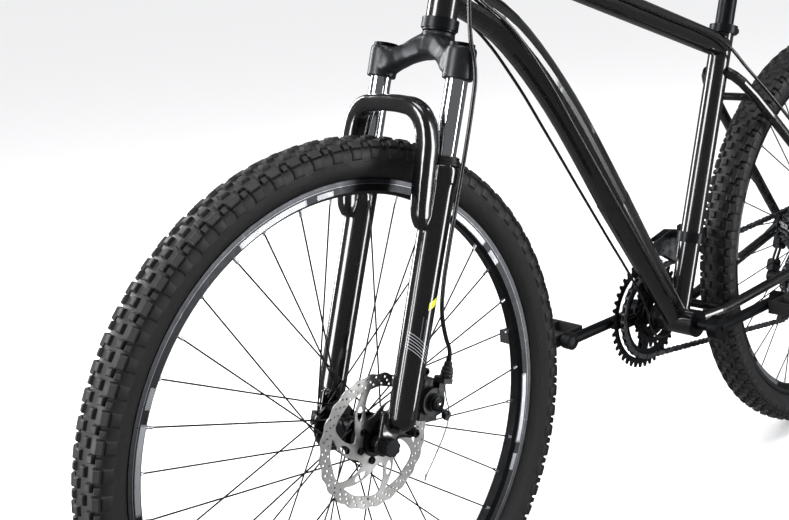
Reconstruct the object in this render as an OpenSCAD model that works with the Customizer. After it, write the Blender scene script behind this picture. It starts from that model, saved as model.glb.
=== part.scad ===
// Hardtail mountain bike with a coil-sprung fork and cable disc brakes. Millimetres.
// +X points forward, +Y to the rider's left, +Z up. The origin is on the ground,
// midway between the wheel axles. The fork, stem and handlebar are drawn in the fork's
// own frame: its origin is the front hub's centre, its Z runs up along the legs.

/* [Frame] */
// Distance between the wheel axles
wheelbase = 1090; // [1075:5:1130]
// Angle of the steering axis above the ground
head_angle = 71.5; // [70:0.5:73]
// Angle of the seat tube above the ground
seat_angle = 73; // [72:0.5:74]
// Height of the crank axis
bb_height = 300; // [290:1:310]
// Crank axis to rear axle
chainstay = 440; // [435:1:450]
// Length of the seat tube
seat_tube_len = 450; // [400:5:480]
// Outside diameter of the seat tube
seat_tube_d = 33; // [31:0.5:36]
// Outside diameter of the down tube
down_tube_d = 46; // [38:1:50]
// Outside diameter of the top tube
top_tube_d = 36; // [30:1:40]
// Diameter of the chainstays and seatstays
stay_d = 16; // [14:0.5:18]
// Length of the head tube
head_tube_len = 120; // [110:1:130]
// Outside diameter of the head tube
head_tube_d = 37; // [36:0.5:42]

/* [Wheels] */
// Outside diameter over the tread
tyre_d = 690; // [680:1:700]
// Width of the tyre
tyre_w = 54; // [50:1:56]
// Outside diameter of the rim
rim_d = 596; // [592:1:600]
// Outside width of the rim
rim_w = 24; // [22:0.5:26]
// Number of spokes in each wheel
spokes = 36; // [32:4:36]
// Diameter of the spokes
spoke_d = 2; // [1.8:0.1:2.6]
// Diameter of the brake discs
rotor_d = 160; // [160:1:162]

/* [Fork] */
// Distance from the front axle to the steering axis
rake = 34.5; // [32:0.5:38]
// Distance of each leg from the middle plane
leg_y = 64; // [63:0.5:68]
// Diameter of the stanchions
stanchion_d = 25.4; // [25:0.1:26]
// Outside diameter of the lower legs at the top
lower_d = 36; // [35:0.5:37]
// Height of the lower legs above the axle
lower_top = 322; // [316:1:326]
// Height of the crown clamps above the axle
crown_base = 417.5; // [414:0.5:422]
// Travel of the fork
fork_travel = 75; // [60:1:75]

/* [Cockpit] */
// Width of the handlebar
bar_w = 680; // [620:5:720]
// Length of the stem
stem_len = 85; // [75:1:95]
// Diameter of the grips
grip_d = 32; // [30:0.5:34]

/* [Seat] */
// Diameter of the seatpost
seatpost_d = 27.2; // [26:0.2:28]
// Length of seatpost showing above the seat tube
post_out = 185; // [120:5:220]

/* [Drivetrain] */
// Length of the crank arms
crank_len = 170; // [165:1:175]
// Teeth of the three chainrings, smallest first
ring_teeth = [24, 34, 42];
// Teeth of the seven rear cogs, smallest first
cog_teeth = [14, 16, 18, 20, 22, 24, 28];

/* [Hidden] */
$fn = 48;

gap = 0.3;          // clearance between pieces that move past each other
fit = 0.1;          // clearance of a piece that slides or turns in a bore
wheel_r = tyre_d / 2;
front_x = wheelbase / 2;
rear_x = -wheelbase / 2;
axle_z = wheel_r;
bb_x = rear_x + sqrt(pow(chainstay, 2) - pow(axle_z - bb_height, 2));
bb = [bb_x, 0, bb_height];
tilt = 90 - head_angle;

// Fork heights above the axle along the legs, and distances ahead of the axle
leg_x = -rake + 21.8;
crown_h = 35.5;
crown_top = crown_base + crown_h;
clamp_d = 35;
cap_d = 29;
race_z = crown_top + 23;
head_z = race_z + 15;
head_top = head_z + head_tube_len;
steerer_d = 28.6;
steerer_top = head_top + 67;
stem_z = head_top + 49;
bar_x = -rake + stem_len;
bar_rise = 20;
bar_clamp_d = 31.8;
bar_end_d = 22.2;
hub_w = 100;
dropout_t = 7;
rear_hub_w = 135;
rotor_t = 1.8;
front_rotor_y = 38;
rear_rotor_y = 51;
axle_d = 9.6;
skewer_d = 4.9;
rear_caliper_turn = 55;    // turns the front caliper's shape round the hub to the rear one's place
rear_caliper_shift = rear_rotor_y - front_rotor_y;
arm_at = [-56, 52];        // pivot of the caliper arm
anchor_at = [-76, 38];     // cable anchor on the arm
cable_y = 74.2;            // the wire's place beside the arm
boot_x = -62;              // place of the rubber boot on the cable stop

// Places on the frame
function on_fork(x, y, z) = [
    front_x + x * cos(tilt) - z * sin(tilt), y, axle_z + x * sin(tilt) + z * cos(tilt)];
function on_seat_tube(h, y = 0) = bb + [-h * cos(seat_angle), y, h * sin(seat_angle)];
down_start = on_fork(-rake - 2, 0, head_z + 36);
down_bend = [on_fork(-rake, 0, head_z).x - 108, 0, on_fork(0, 0, head_z).z - 32];
down_knee = [down_bend.x - 98, 0, down_bend.z - 106];
down_low = bb + 260 * unit(down_knee - bb);
top_start = on_fork(-rake - 2, 0, head_top - 23);
top_end = on_seat_tube(seat_tube_len - 28);
drop_y = rear_hub_w / 2;

// Drivetrain
pitch = 12.7;
chain_y = -50;
chain_cog = 2;
ring_step = 8;
cog_step = 5;
function pitch_r(teeth) = teeth * pitch / (2 * PI);
guide_teeth = 11;
guide_at = [rear_x + 16, 0, axle_z - 94];
tension_at = guide_at + [15, 0, -54];
hanger_at = [rear_x - 14, 0, axle_z - 28];
link_at = hanger_at + [7, -81, -14];    // upper pivot of the rear derailleur's link
link_tilt = 16.8;
link_len = 31;
link_out = 5;

// Routes of the cables, in the fork's frame for the front brake and the bike's for the others
front_brake_route = [
    [65, 179.4, 660], [68.5, 150, 660], [67, 122, 650], [54, 104, 615], [30, 93, 556], [8, 86, 492],
    [-3, 85, 460], [-13, 85, 440], [-19, 85.5, 420], [-21, 85.5, 395], [-22, 85.5, 342],
    [-22, 85, 285], [-23, 83.5, 228], [-25, 82.6, 188], [-33, 80, 156], [-48, 77, 130],
    [-61, 74.6, 112], [-62, 74.2, 97.6],
];
rear_brake_route = [
    [397, -179.4, 992], [401, -150, 992.5], [412, -110, 986], [426, -60, 968], [428, -10, 948],
    [408, 24, 926], [368, 34, 902], [310, 28, 884], [240, 25, 863], [160, 24, 837], [80, 24, 810],
    [0, 24, 783], [-80, 24, 756], [-150, 25, 733], [-206, 27, 708], [-250, 34, 668],
    [-296, 46, 622], [-350, 54, 570], [-404, 62, 518], [-436, 74, 496], [-468, 84, 475],
    [-500.2, 87.2, 452.2],
];
left_shift_route = [
    [384, 147.4, 982], [388, 124, 981], [402, 96, 970], [411, 66, 946], [400, 44, 908],
    [366, 34, 860], [322, 29, 822], [270, 28, 784], [212, 28, 720], [150, 28, 634], [90, 28, 550],
    [28, 28, 464], [-34, 28, 379], [-60, 28, 344],
];
right_shift_route = [
    [384, -147.4, 982], [389, -124, 981], [402, -98, 968], [412, -72, 942], [402, -48, 904],
    [366, -34, 856], [322, -29, 818], [266, -28, 776], [208, -28, 712], [146, -28, 628],
    [86, -28, 544], [24, -28, 458], [-38, -28, 372], [-66, -28, 326], [-78, -29, 292],
    [-96, -30, 270], [-126, -32, 264], [-170, -42, 276], [-280, -59, 300], [-370, -69, 312],
    [-460, -79, 322], [-540, -91, 340], [-584, -94, 344], [-606, -92, 328], [-600, -89, 310],
    [-577.2, -88, 305],
];

// ---- Helpers ----

// Puts what follows in the fork's frame
module fork_frame() {
    translate([front_x, 0, axle_z]) rotate([0, -tilt, 0]) children();
}

// Puts what follows at the rear hub's centre
module rear_frame() {
    translate([rear_x, 0, axle_z]) children();
}

// Both sides of the middle plane
module both_sides() {
    children();
    mirror([0, 1, 0]) children();
}

// A round bar from one point to another
module bar(p, q, d, d2 = 0) {
    v = q - p;
    translate(p)
        rotate([0, acos(v.z / norm(v)), atan2(v.y, v.x)])
            cylinder(h = norm(v), d1 = d, d2 = d2 == 0 ? d : d2);
}

// A round bar along Y from y0 to y1
module across(x, z, y0, y1, d) {
    translate([x, y0, z]) rotate([-90, 0, 0]) cylinder(h = y1 - y0, d = d);
}

// Bars through a list of points, with a ball a little larger than the bar at each bend
module bent_bar(points, d) {
    for (i = [0 : len(points) - 2]) bar(points[i], points[i + 1], d);
    for (i = [1 : len(points) - 2]) translate(points[i]) sphere(d = d + 0.6);
}

// A shape of revolution about Y from an outline of [radius, y] points
module spin_y(outline) {
    rotate([-90, 0, 0]) rotate_extrude($fn = 96) polygon(outline);
}

// A flat plate in the XZ plane, from y0 to y1
module plate(y0, y1) {
    translate([0, y1, 0]) rotate([90, 0, 0]) linear_extrude(y1 - y0) children();
}

function unit(v) = v / norm(v);
function spline(a, b, c, d, t) = 0.5 * (2 * b + (c - a) * t + (2 * a - 5 * b + 4 * c - d) * t * t
    + (3 * b - a - 3 * c + d) * t * t * t);
function at_index(p, i) = p[max(0, min(len(p) - 1, i))];
function smooth_route(p, steps) = [
    for (i = [0 : len(p) - 2], k = [0 : steps - 1])
        spline(at_index(p, i - 1), p[i], p[i + 1], at_index(p, i + 2), k / steps),
    p[len(p) - 1],
];
function tangents(p) = [for (i = [0 : len(p) - 1]) unit(at_index(p, i + 1) - at_index(p, i - 1))];
function carried(t, n, i = 0) = i == len(t) ? [] :
    let (m = unit(n - (n * t[i]) * t[i])) concat([m], carried(t, m, i + 1));

// A cord swept along a route: eight flat sides
module cord(route, d, steps = 2, sides = 8) {
    p = smooth_route(route, steps);
    t = tangents(p);
    n = carried(t, [0.3, 0.2, 1]);
    last = len(p) - 1;
    points = [
        for (i = [0 : last], k = [0 : sides - 1])
            p[i] + d / 2 * (cos(360 * k / sides) * n[i] + sin(360 * k / sides) * cross(t[i], n[i])),
    ];
    walls = [
        for (i = [0 : last - 1], k = [0 : sides - 1])
            [i * sides + k, (i + 1) * sides + k, (i + 1) * sides + (k + 1) % sides,
             i * sides + (k + 1) % sides],
    ];
    start = [for (k = [0 : sides - 1]) k];
    finish = [for (k = [sides - 1 : -1 : 0]) last * sides + k];
    polyhedron(points, concat(walls, [start, finish]), convexity = 8);
}

// A ring round Y
module ring_y(x, z, y0, y1, outer, inner) {
    difference() {
        across(x, z, y0, y1, outer);
        across(x, z, y0 - 1, y1 + 1, inner);
    }
}

// A ring standing on Z
module ring_z(x, y, z0, z1, outer, inner) {
    translate([x, y, z0]) difference() {
        cylinder(h = z1 - z0, d = outer);
        translate([0, 0, -1]) cylinder(h = z1 - z0 + 2, d = inner);
    }
}

// A box from one corner to the opposite one
module block(low, high) {
    translate(low) cube(high - low);
}

// Outline of a sprocket, with a flat-topped tooth at each pitch
module sprocket(teeth) {
    r = pitch_r(teeth);
    polygon([
        for (i = [0 : teeth - 1], k = [[-0.36, -3.6], [-0.16, 3.4], [0.16, 3.4], [0.36, -3.6]])
            (r + k[1]) * [cos(360 * (i + k[0]) / teeth), sin(360 * (i + k[0]) / teeth)],
    ]);
}

// ---- Frame ----

module stays() {
    both_sides() {
        cord([bb + [-8, 20, 0], bb + [-55, 32, 3], bb + [-108, 39, 7],
            [rear_x + 100, drop_y - 6, axle_z - 10], [rear_x + 20, drop_y + 3.5, axle_z - 2]],
            stay_d, 4, 16);
        cord([on_seat_tube(seat_tube_len - 66, 15), on_seat_tube(seat_tube_len - 66, 15)
            + [-44, 21, -40], [rear_x + 90, drop_y - 5, axle_z + 94],
            [rear_x + 14, drop_y + 3.5, axle_z + 18]], stay_d, 4, 16);
    }
    seat_bridge = on_seat_tube(seat_tube_len - 66) + [-50, 0, -46];
    across(seat_bridge.x, seat_bridge.z, -38, 38, 12);
    across(bb.x - 72, bb.z + 4, -32, 32, 14);
}

module dropouts() {
    plate_t = 6.5;
    both_sides() across(rear_x, axle_z, drop_y, drop_y + plate_t, 52);
    across(hanger_at.x, hanger_at.z, -drop_y - plate_t, -drop_y, 21);
    // Tabs that carry the rear caliper
    translate([rear_x, 0, axle_z]) rotate([0, rear_caliper_turn, 0]) {
        for (z = [15, 87]) across(-38, z, 62, 70, 16);
        block([-38, 62, 80], [-12, 70, 94]);
        block([-34, 64, 6], [-16, 70, 24]);
    }
}

module bottle_boss(h) {
    d = unit(down_knee - bb);
    translate(bb + d * h) rotate([0, atan2(d.x, d.z) - 90, 0])
        translate([0, 0, down_tube_d / 2 - 4]) children();
}

module main_frame() {
    color("#101113") difference() {
        union() {
            fork_frame() translate([-rake, 0, head_z]) cylinder(h = head_tube_len, d = head_tube_d);
            cord([down_start, down_bend, down_knee, down_low], down_tube_d, 5, 24);
            // Tapered lower end, let over the bent part
            bar(down_low + 9 * unit(down_low - bb), bb + 8 * unit(down_low - bb),
                down_tube_d + 1.2, 36);
            bar(top_start, top_end, top_tube_d);
            bar(bb, on_seat_tube(seat_tube_len), seat_tube_d);
            across(bb.x, bb.z, -34, 34, 41);
            for (h = [150, 214]) bottle_boss(h) cylinder(h = 7, d = 11);
        }
        fork_frame() translate([-rake, 0, head_z - 1]) cylinder(h = head_tube_len + 2, d = 34.2);
        across(bb.x, bb.z, -35, 35, 35);
        bar(on_seat_tube(70), on_seat_tube(seat_tube_len + 2), seatpost_d + 2 * fit);
        for (h = [150, 214]) bottle_boss(h) translate([0, 0, -8]) cylinder(h = 17, d = 5);
    }
}

// Stays and dropouts, mitred to the seat tube and the bottom bracket shell that they are welded to
module rear_triangle() {
    color("#101113") difference() {
        union() {
            stays();
            dropouts();
        }
        across(bb.x, bb.z, -40, 40, 41);
        bar(bb, on_seat_tube(seat_tube_len), seat_tube_d);
        both_sides() across(rear_x, axle_z, drop_y - 1, drop_y + 8, axle_d + 2 * fit);
        both_sides() block([rear_x - axle_d / 2 - fit, drop_y - 1, axle_z - 30],
            [rear_x + axle_d / 2 + fit, drop_y + 8, axle_z]);
        across(hanger_at.x, hanger_at.z, -drop_y - 8, -drop_y + 1, 10);
        at_rear_caliper() for (z = [15, 87]) across(-38, z, 40, 60, 6);
        // Threaded eyes for a rack or mudguard, at the back of each dropout
        for (y = [-drop_y - 8, drop_y - 1]) across(rear_x - 18, axle_z + 8, y, y + 9, 5);
    }
}

module headset() {
    color("#1a1b1d") fork_frame() {
        for (end = [[head_z, 0], [head_top, 180]])
            translate([-rake, 0, end[0]]) rotate([end[1], 0, 0]) {
                difference() {
                    union() {
                        translate([0, 0, -12]) cylinder(h = 12, d = 44);
                        cylinder(h = 10, d = 34);
                    }
                    translate([0, 0, -13]) cylinder(h = 24, d = 30);
                    translate([0, 0, -13]) cylinder(h = 8, d = 40);
                }
                // Cartridge bearing, pressed up into the cup
                ring_z(0, 0, -14.6, -5.2, 39.8, steerer_d + 2 * gap);
            }
    }
}

module bottom_bracket() {
    color("#2a2b2d") difference() {
        union() {
            across(bb.x, bb.z, -34, 34, 34.8);
            both_sides() across(bb.x, bb.z, 34, 37, 42);
        }
        across(bb.x, bb.z, -40, 40, 17 + 2 * fit);
    }
}

module seat_clamp() {
    top = on_seat_tube(seat_tube_len);
    color("#18191b") difference() {
        union() {
            bar(on_seat_tube(seat_tube_len - 9), on_seat_tube(seat_tube_len + 3), seat_tube_d + 9);
            across(top.x - seat_tube_d / 2 - 6, top.z - 8, -10, 10, 9);
        }
        bar(on_seat_tube(seat_tube_len - 12), on_seat_tube(seat_tube_len + 0.05), seat_tube_d + fit);
        bar(on_seat_tube(seat_tube_len - 1), on_seat_tube(seat_tube_len + 5), seatpost_d + 2 * fit);
        block(top - [seat_tube_d, 1, 30], top + [-seatpost_d / 2 + 2, 1, 20]);
    }
}

post_top = on_seat_tube(seat_tube_len + post_out);

module seatpost() {
    color("#17181a") {
        difference() {
            bar(on_seat_tube(seat_tube_len - 110), post_top, seatpost_d);
            bar(on_seat_tube(seat_tube_len - 112), on_seat_tube(seat_tube_len + post_out - 20),
                seatpost_d - 5);
        }
        // Head and the clamp that grips the saddle's rails
        translate(post_top) {
            difference() {
                block([-20, -27, -6], [20, 27, 8]);
                for (y = [-22, 22]) translate([-30, y, 8.1]) rotate([0, 90, 0])
                    cylinder(h = 60, d = 7.2);
                translate([0, 0, -10]) cylinder(h = 30, d = 6.4);
            }
            difference() {
                block([-20, -27, 8.4], [20, 27, 14]);
                for (y = [-22, 22]) translate([-30, y, 8.1]) rotate([0, 90, 0])
                    cylinder(h = 60, d = 7.2);
                translate([0, 0, -10]) cylinder(h = 30, d = 6.4);
            }
            cylinder(h = 17, d = 6);
            translate([0, 0, 14.1]) cylinder(h = 4, d = 10);
        }
    }
}

module saddle_rails() {
    color("#2c2d30") translate(post_top) both_sides()
        bent_bar([[-92, 40, 36], [-60, 22, 8.1], [60, 22, 8.1], [108, 9, 34]], 7);
}

module saddle() {
    color("#1b1c1e") translate(post_top + [0, 0, 52]) difference() {
        hull() {
            for (y = [-52, 52]) translate([-110, y, -2]) sphere(d = 44, $fn = 32);
            for (y = [-30, 30]) translate([-20, y, 0]) sphere(d = 36, $fn = 32);
            translate([142, 0, -4]) sphere(d = 34, $fn = 32);
        }
        // Hollow underside, which holds the rails' ends
        hull() {
            for (y = [-42, 42]) translate([-100, y, -32]) sphere(d = 40, $fn = 32);
            translate([120, 0, -32]) sphere(d = 22, $fn = 32);
        }
    }
}

// ---- Steering ----

module fork_crown() {
    color("#2a2b2e") fork_frame() difference() {
        union() {
            both_sides() {
                translate([leg_x, leg_y, crown_base]) cylinder(h = crown_h, d = clamp_d);
                hull() {
                    translate([leg_x - 3, leg_y, crown_base + 12]) cylinder(h = crown_h - 13, d = 26,
                        $fn = 32);
                    translate([-rake, 6, crown_base + 29]) cylinder(h = 24, d = 38, $fn = 32);
                }
            }
            translate([-rake, 0, crown_base + 27]) cylinder(h = race_z - crown_base - 31, d = 44);
            translate([-rake, 0, race_z - 5]) cylinder(h = 5, d = 39);
            translate([-rake, 0, race_z - 2]) cylinder(h = steerer_top - race_z + 2, d = steerer_d);
        }
        both_sides() translate([leg_x, leg_y, crown_base - 1])
            cylinder(h = crown_h + 2, d = stanchion_d + 2 * fit);
        both_sides() translate([leg_x, leg_y, crown_top]) cylinder(h = 20, d = cap_d + 2 * gap);
        translate([-rake, 0, crown_base + 20]) cylinder(h = steerer_top, d = 23);
    }
}

stanchion_low = 125;

module stanchions() {
    fork_frame() both_sides() {
        color("#d8dadd") ring_z(leg_x, leg_y, stanchion_low, crown_top - 1, stanchion_d, 21);
        // Screwed caps, which hold the springs down
        color("#141516") translate([leg_x, leg_y, crown_top]) {
            cylinder(h = 5, d = cap_d);
            translate([0, 0, -12]) cylinder(h = 12, d = 20.8);
        }
    }
}

module headset_spacers() {
    color("#1a1b1d") fork_frame() {
        ring_z(-rake, 0, head_top + 14.9, head_top + 19, 42, steerer_d + 2 * fit);
        for (i = [0, 1]) ring_z(-rake, 0, head_top + 19.1 + 5.5 * i, head_top + 24.5 + 5.5 * i, 35,
            steerer_d + 2 * fit);
        translate([-rake, 0, stem_z + 19]) {
            cylinder(h = 5, d = 34);
            translate([0, 0, -20]) cylinder(h = 22, d = 6);
            translate([0, 0, 5]) cylinder(h = 3, d = 10);
        }
        // Star nut, which the top cap's bolt pulls on
        ring_z(-rake, 0, stem_z - 12, stem_z - 6, 22.8, 6);
    }
}

module stem_solid() {
    translate([-rake, 0, stem_z - 19]) cylinder(h = 38, d = 39);
    bar([-rake, 0, stem_z], [bar_x - 4, 0, stem_z], 32);
    across(bar_x, stem_z, -23, 23, 43);
    block([bar_x - 9, -23, stem_z - 25], [bar_x + 9, 23, stem_z + 25]);
}

module stem_bolts(d_shank, d_head) {
    for (y = [-14, 14], z = [-20.5, 20.5]) {
        bar([bar_x - 7, y, stem_z + z], [bar_x + 9.5, y, stem_z + z], d_shank);
        bar([bar_x + 9, y, stem_z + z], [bar_x + 13, y, stem_z + z], d_head);
    }
    for (z = [-10, 10]) {
        across(-rake - 20, stem_z + z, -9, 9, d_shank);
    }
}

module stem() {
    color("#1c1d20") fork_frame() {
        difference() {
            stem_solid();
            translate([-rake, 0, stem_z - 20]) cylinder(h = 40, d = steerer_d + 2 * fit);
            across(bar_x, stem_z, -24, 24, bar_clamp_d + 2 * fit);
            stem_bolts(5.2, 9);
            block([bar_x - 0.6, -24, stem_z - 30], [bar_x + 0.6, 24, stem_z + 30]);
            block([-rake - 30, -1, stem_z - 20], [-rake - 12, 1, stem_z + 20]);
        }
        stem_bolts(5, 8);
    }
}

sweep_a = 6.3;
grip_at = [bar_x - 2, 115, stem_z + bar_rise];
straight_len = (bar_w / 2 - grip_at.y) / cos(sweep_a);
grip_len = 125;
pod_y = straight_len - grip_len - 13;
pod_turn = 40;

// The left straight of the handlebar: Y runs outward along it
module on_bar() {
    fork_frame() translate(grip_at) rotate([0, 0, sweep_a]) children();
}

// The same, turned forward and down to the levers' plane
module on_levers() {
    on_bar() translate([0, pod_y, 0]) rotate([0, pod_turn, 0]) children();
}

module handlebar() {
    color("#1b1c1f") {
        fork_frame() {
            across(bar_x, stem_z, -40, 40, bar_clamp_d);
            both_sides() {
                bar([bar_x, 40, stem_z], [bar_x, 52, stem_z], bar_clamp_d, 27.6);
                cord([[bar_x, 44, stem_z], [bar_x, 57, stem_z + 0.6], [bar_x - 1, 86, stem_z + 11],
                    grip_at + [-0.33, 3, 0]], 24.6, 5, 24);
            }
        }
        both_sides() on_bar() {
            difference() {
                across(0, 0, 1.5, straight_len, bar_end_d);
                across(0, 0, straight_len - grip_len, straight_len + 1, bar_end_d - 4);
            }
        }
    }
}

module grips() {
    color("#141414") both_sides() on_bar() difference() {
        union() {
            across(0, 0, straight_len - grip_len, straight_len + 4, grip_d);
            across(0, 0, straight_len - grip_len, straight_len - grip_len + 4, grip_d + 8);
        }
        across(0, 0, straight_len - grip_len - 1, straight_len + 0.1, bar_end_d + 2 * fit);
    }
}

module control_pods() {
    color("#19191b") both_sides() on_levers() {
        difference() {
            union() {
                across(0, 0, -9, 9, 33);
                across(0, 0, -42, -32, 33);
                block([8, -13, -8], [44, 11, 8]);
                block([8, -42, -8], [22, -8, 8]);
                translate([20, -34, -28]) cylinder(h = 24, d = 44);
                across(31, 0, -26, -12, 10);
            }
            across(0, 0, -60, 20, bar_end_d + 2 * fit);
            block([24, -9, -3.3], [50, 16, 3.3]);
            across(31, 0, -30, -8, 3);
        }
        // Lever pin
        translate([36, 0, -8.5]) cylinder(h = 17, d = 4.8);
    }
}

module brake_lever() {
    on_levers() difference() {
        union() {
            translate([36, 0, -3]) cylinder(h = 6, d = 12);
            block([36, -2.8, -2.8], [58, 12, 2.8]);
            cord([[52, 8, 0], [58, 24, 0], [60, 52, 0], [63, 82, 0], [70, 112, 0]], 10, 4, 12);
        }
        translate([36, 0, -5]) cylinder(h = 10, d = 5);
    }
}

module brake_lever_left() { color("#232427") brake_lever(); }
module brake_lever_right() { color("#232427") mirror([0, 1, 0]) brake_lever(); }

module shift_lever() {
    on_levers() {
        translate([20, -34, -33]) cylinder(h = 4.7, d = 16);
        cord([[18, -33, -31.8], [-4, -25, -31.8], [-16, -14, -31.8], [-24, 6, -31.8]], 6.2, 4, 10);
    }
}

module shift_lever_left() { color("#2a2b2e") shift_lever(); }
module shift_lever_right() { color("#2a2b2e") mirror([0, 1, 0]) shift_lever(); }

// ---- Fork lowers ----

module lower_leg() {
    translate([leg_x, leg_y, 34]) cylinder(h = lower_top - 34, d1 = lower_d - 2.5, d2 = lower_d);
    translate([leg_x, leg_y, 34]) sphere(d = lower_d - 2.45);
    difference() {
        union() {
            across(0, 0, hub_w / 2, hub_w / 2 + dropout_t, 28);
            block([-27, hub_w / 2, 8], [11, hub_w / 2 + dropout_t, 36]);
            block([-20, hub_w / 2, -4], [6, hub_w / 2 + dropout_t, 20]);
        }
        across(0, 0, hub_w / 2 - 1, hub_w / 2 + dropout_t + 1, axle_d + 2 * fit);
        block([-axle_d / 2 - fit, hub_w / 2 - 1, -16],
            [axle_d / 2 + fit, hub_w / 2 + dropout_t + 1, 0]);
    }
}

module fork_lowers() {
    color("#0b0b0d") fork_frame() difference() {
        union() {
            both_sides() lower_leg();
            for (z = [15, 87]) {
                across(-38, z, 49, 58, 16);
                block([-38, 49, z - 8], [-18, 58, z + 8]);
            }
            cord([[3, 64, 262], [9, 64, 290], [16, 64, 320], [22, 64, 350], [26, 56, 372],
                [28, 40, 382], [29, 14, 385], [29, -14, 385], [28, -40, 382], [26, -56, 372],
                [22, -64, 350], [16, -64, 320], [9, -64, 290], [3, -64, 262]], 19, 3, 12);
        }
        both_sides() translate([leg_x, leg_y, 46])
            cylinder(h = lower_top, d = stanchion_d + 2 * fit);
        for (z = [15, 87]) across(-38, z, 40, 60, 6);
    }
}

module dust_seals() {
    color("#111111") fork_frame() both_sides()
        ring_z(leg_x, leg_y, lower_top, lower_top + 11, lower_d + 1, stanchion_d + 2 * fit);
}

module fork_springs() {
    turns = 14;
    per_turn = 9;
    low = 48;
    high = crown_top - 14.5;
    coil = [for (i = [0 : turns * per_turn])
        [leg_x + 8 * cos(360 * i / per_turn), leg_y + 8 * sin(360 * i / per_turn),
         low + (high - low) * i / (turns * per_turn)]];
    color("#8a8c90") fork_frame() both_sides() cord(coil, 3, 1, 6);
}

module axle_set(half, lock_y, bearing_y, ball_r) {
    // Hollow axle, cones, locknuts and two rings of balls
    difference() {
        union() {
            across(0, 0, -half, half, axle_d);
            both_sides() {
                across(0, 0, lock_y - 7, lock_y, 19);
                across(0, 0, bearing_y - 4, lock_y - 6, 15.4);
            }
        }
        across(0, 0, -half - 1, half + 1, 5.6);
    }
    both_sides() for (i = [0 : 9])
        translate([ball_r * cos(36 * i), bearing_y, ball_r * sin(36 * i)]) sphere(d = 4.6, $fn = 16);
}

module front_axle() {
    color("#2b2c2f") fork_frame() {
        axle_set(hub_w / 2 + 4.5, hub_w / 2, 37, 10.2);
        across(0, 0, -66.6, 64, skewer_d);
        // Adjusting nut on the left, cam housing on the right
        difference() {
            across(0, 0, hub_w / 2 + dropout_t, 71, 21);
            across(0, 0, 55, 64.1, skewer_d + 2 * fit);
            for (i = [0 : 7]) translate([12.4 * cos(45 * i), 60, 12.4 * sin(45 * i)])
                rotate([-90, 0, 0]) cylinder(h = 12, d = 6);
        }
        difference() {
            across(0, 0, -66.6, -hub_w / 2 - dropout_t, 17);
            across(0, 0, -67, -50, skewer_d + 2 * fit);
        }
    }
}

// Quick-release lever: its barrel lies on Z and its arm points along X, outboard at -Y
module qr_lever() {
    translate([0, 0, -8]) cylinder(h = 16, d = 10);
    block([0, -5, -6], [26, -1, 6]);
    translate([26, -3, 0]) rotate([0, 0, -14]) block([-1, -2, -6.5], [26, 2, 6.5]);
}

module front_qr_lever() {
    color("#202124") fork_frame() translate([0, -71.9, 0]) rotate([0, 180, 0]) qr_lever();
}

// ---- Disc brakes: drawn for the front, in the fork's frame ----

module caliper() {
    difference() {
        union() {
            block([-72, 25, 28], [-44, 60, 76]);
            across(arm_at.x, arm_at.y, 60, 68, 34);
            across(-44, 52, 27, 46, 40);
            // Adapter that bolts to the fork's tabs
            block([-47, 43, 8], [-31, 48.7, 94]);
            for (z = [15, 87]) across(-38, z, 43, 48.7, 16);
            // Arm that stops the cable housing
            block([-72, 56, 62], [-62, 66, 82]);
            block([boot_x - 7, 62, 76], [boot_x + 7, 79, 82]);
        }
        across(0, 0, front_rotor_y - 2, front_rotor_y + 2, rotor_d + 5);
        block([-66, 33, 36], [-48, 43, 68]);
        across(0, 0, 20, front_rotor_y, 96);
        for (z = [15, 87]) across(-38, z, 40, 50, 6);
        translate([boot_x, cable_y, 70]) cylinder(h = 20, d = 2.2);
    }
    // Pads
    for (y = [33.2, front_rotor_y + rotor_t / 2 + gap])
        block([-65.6, y, 36.4], [-48.4, y + front_rotor_y - rotor_t / 2 - gap - 33.2, 67.6]);
    // Mounting bolts
    for (z = [15, 87]) {
        across(-38, z, 43, 60, 5.8);
        across(-38, z, 58, 62, 10);
    }
    // Rubber boot and the pad adjuster
    translate([boot_x, cable_y, 82]) difference() {
        cylinder(h = 15, d1 = 12, d2 = 9);
        translate([0, 0, -1]) cylinder(h = 20, d = 2.4);
    }
}

module caliper_arm() {
    difference() {
        union() {
            across(arm_at.x, arm_at.y, 68.3, 73.3, 22);
            bar([arm_at.x, 70.8, arm_at.y], [anchor_at.x, 70.8, anchor_at.y], 5);
            across(anchor_at.x, anchor_at.y, 68.3, 73.3, 11);
        }
        across(arm_at.x, arm_at.y, 68, 74, 0.9);
    }
    across(anchor_at.x + 4, anchor_at.y - 2, 73.3, 77.5, 7);
}

module brake_wire() {
    cord([[boot_x, cable_y, 96], [boot_x, cable_y, 82], [boot_x - 0.8, cable_y, 72],
        [-68, cable_y, 58], [-78, cable_y, 38], [-72, cable_y, 8], [-54, cable_y + 1, -34]], 1.6, 2);
    translate([-54, cable_y + 1, -38]) cylinder(h = 8, d = 2.6);
}

module front_caliper() { color("#141516") fork_frame() caliper(); }
module front_caliper_arm() { color("#1b1c1e") fork_frame() caliper_arm(); }
module front_brake_wire() { color("#b9bbbf") fork_frame() brake_wire(); }
module front_brake_housing() { color("#0d0d0e") fork_frame() cord(front_brake_route, 5, 4); }

module at_rear_caliper() {
    rear_frame() translate([0, rear_caliper_shift, 0]) rotate([0, rear_caliper_turn, 0]) children();
}

module rear_caliper() { color("#141516") at_rear_caliper() caliper(); }
module rear_caliper_arm() { color("#1b1c1e") at_rear_caliper() caliper_arm(); }

// ---- Wheels: drawn with the hub at the origin ----

function both_ways(half) = concat(half, [for (i = [len(half) - 1 : -1 : 0]) [half[i].x, -half[i].y]]);

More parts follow.
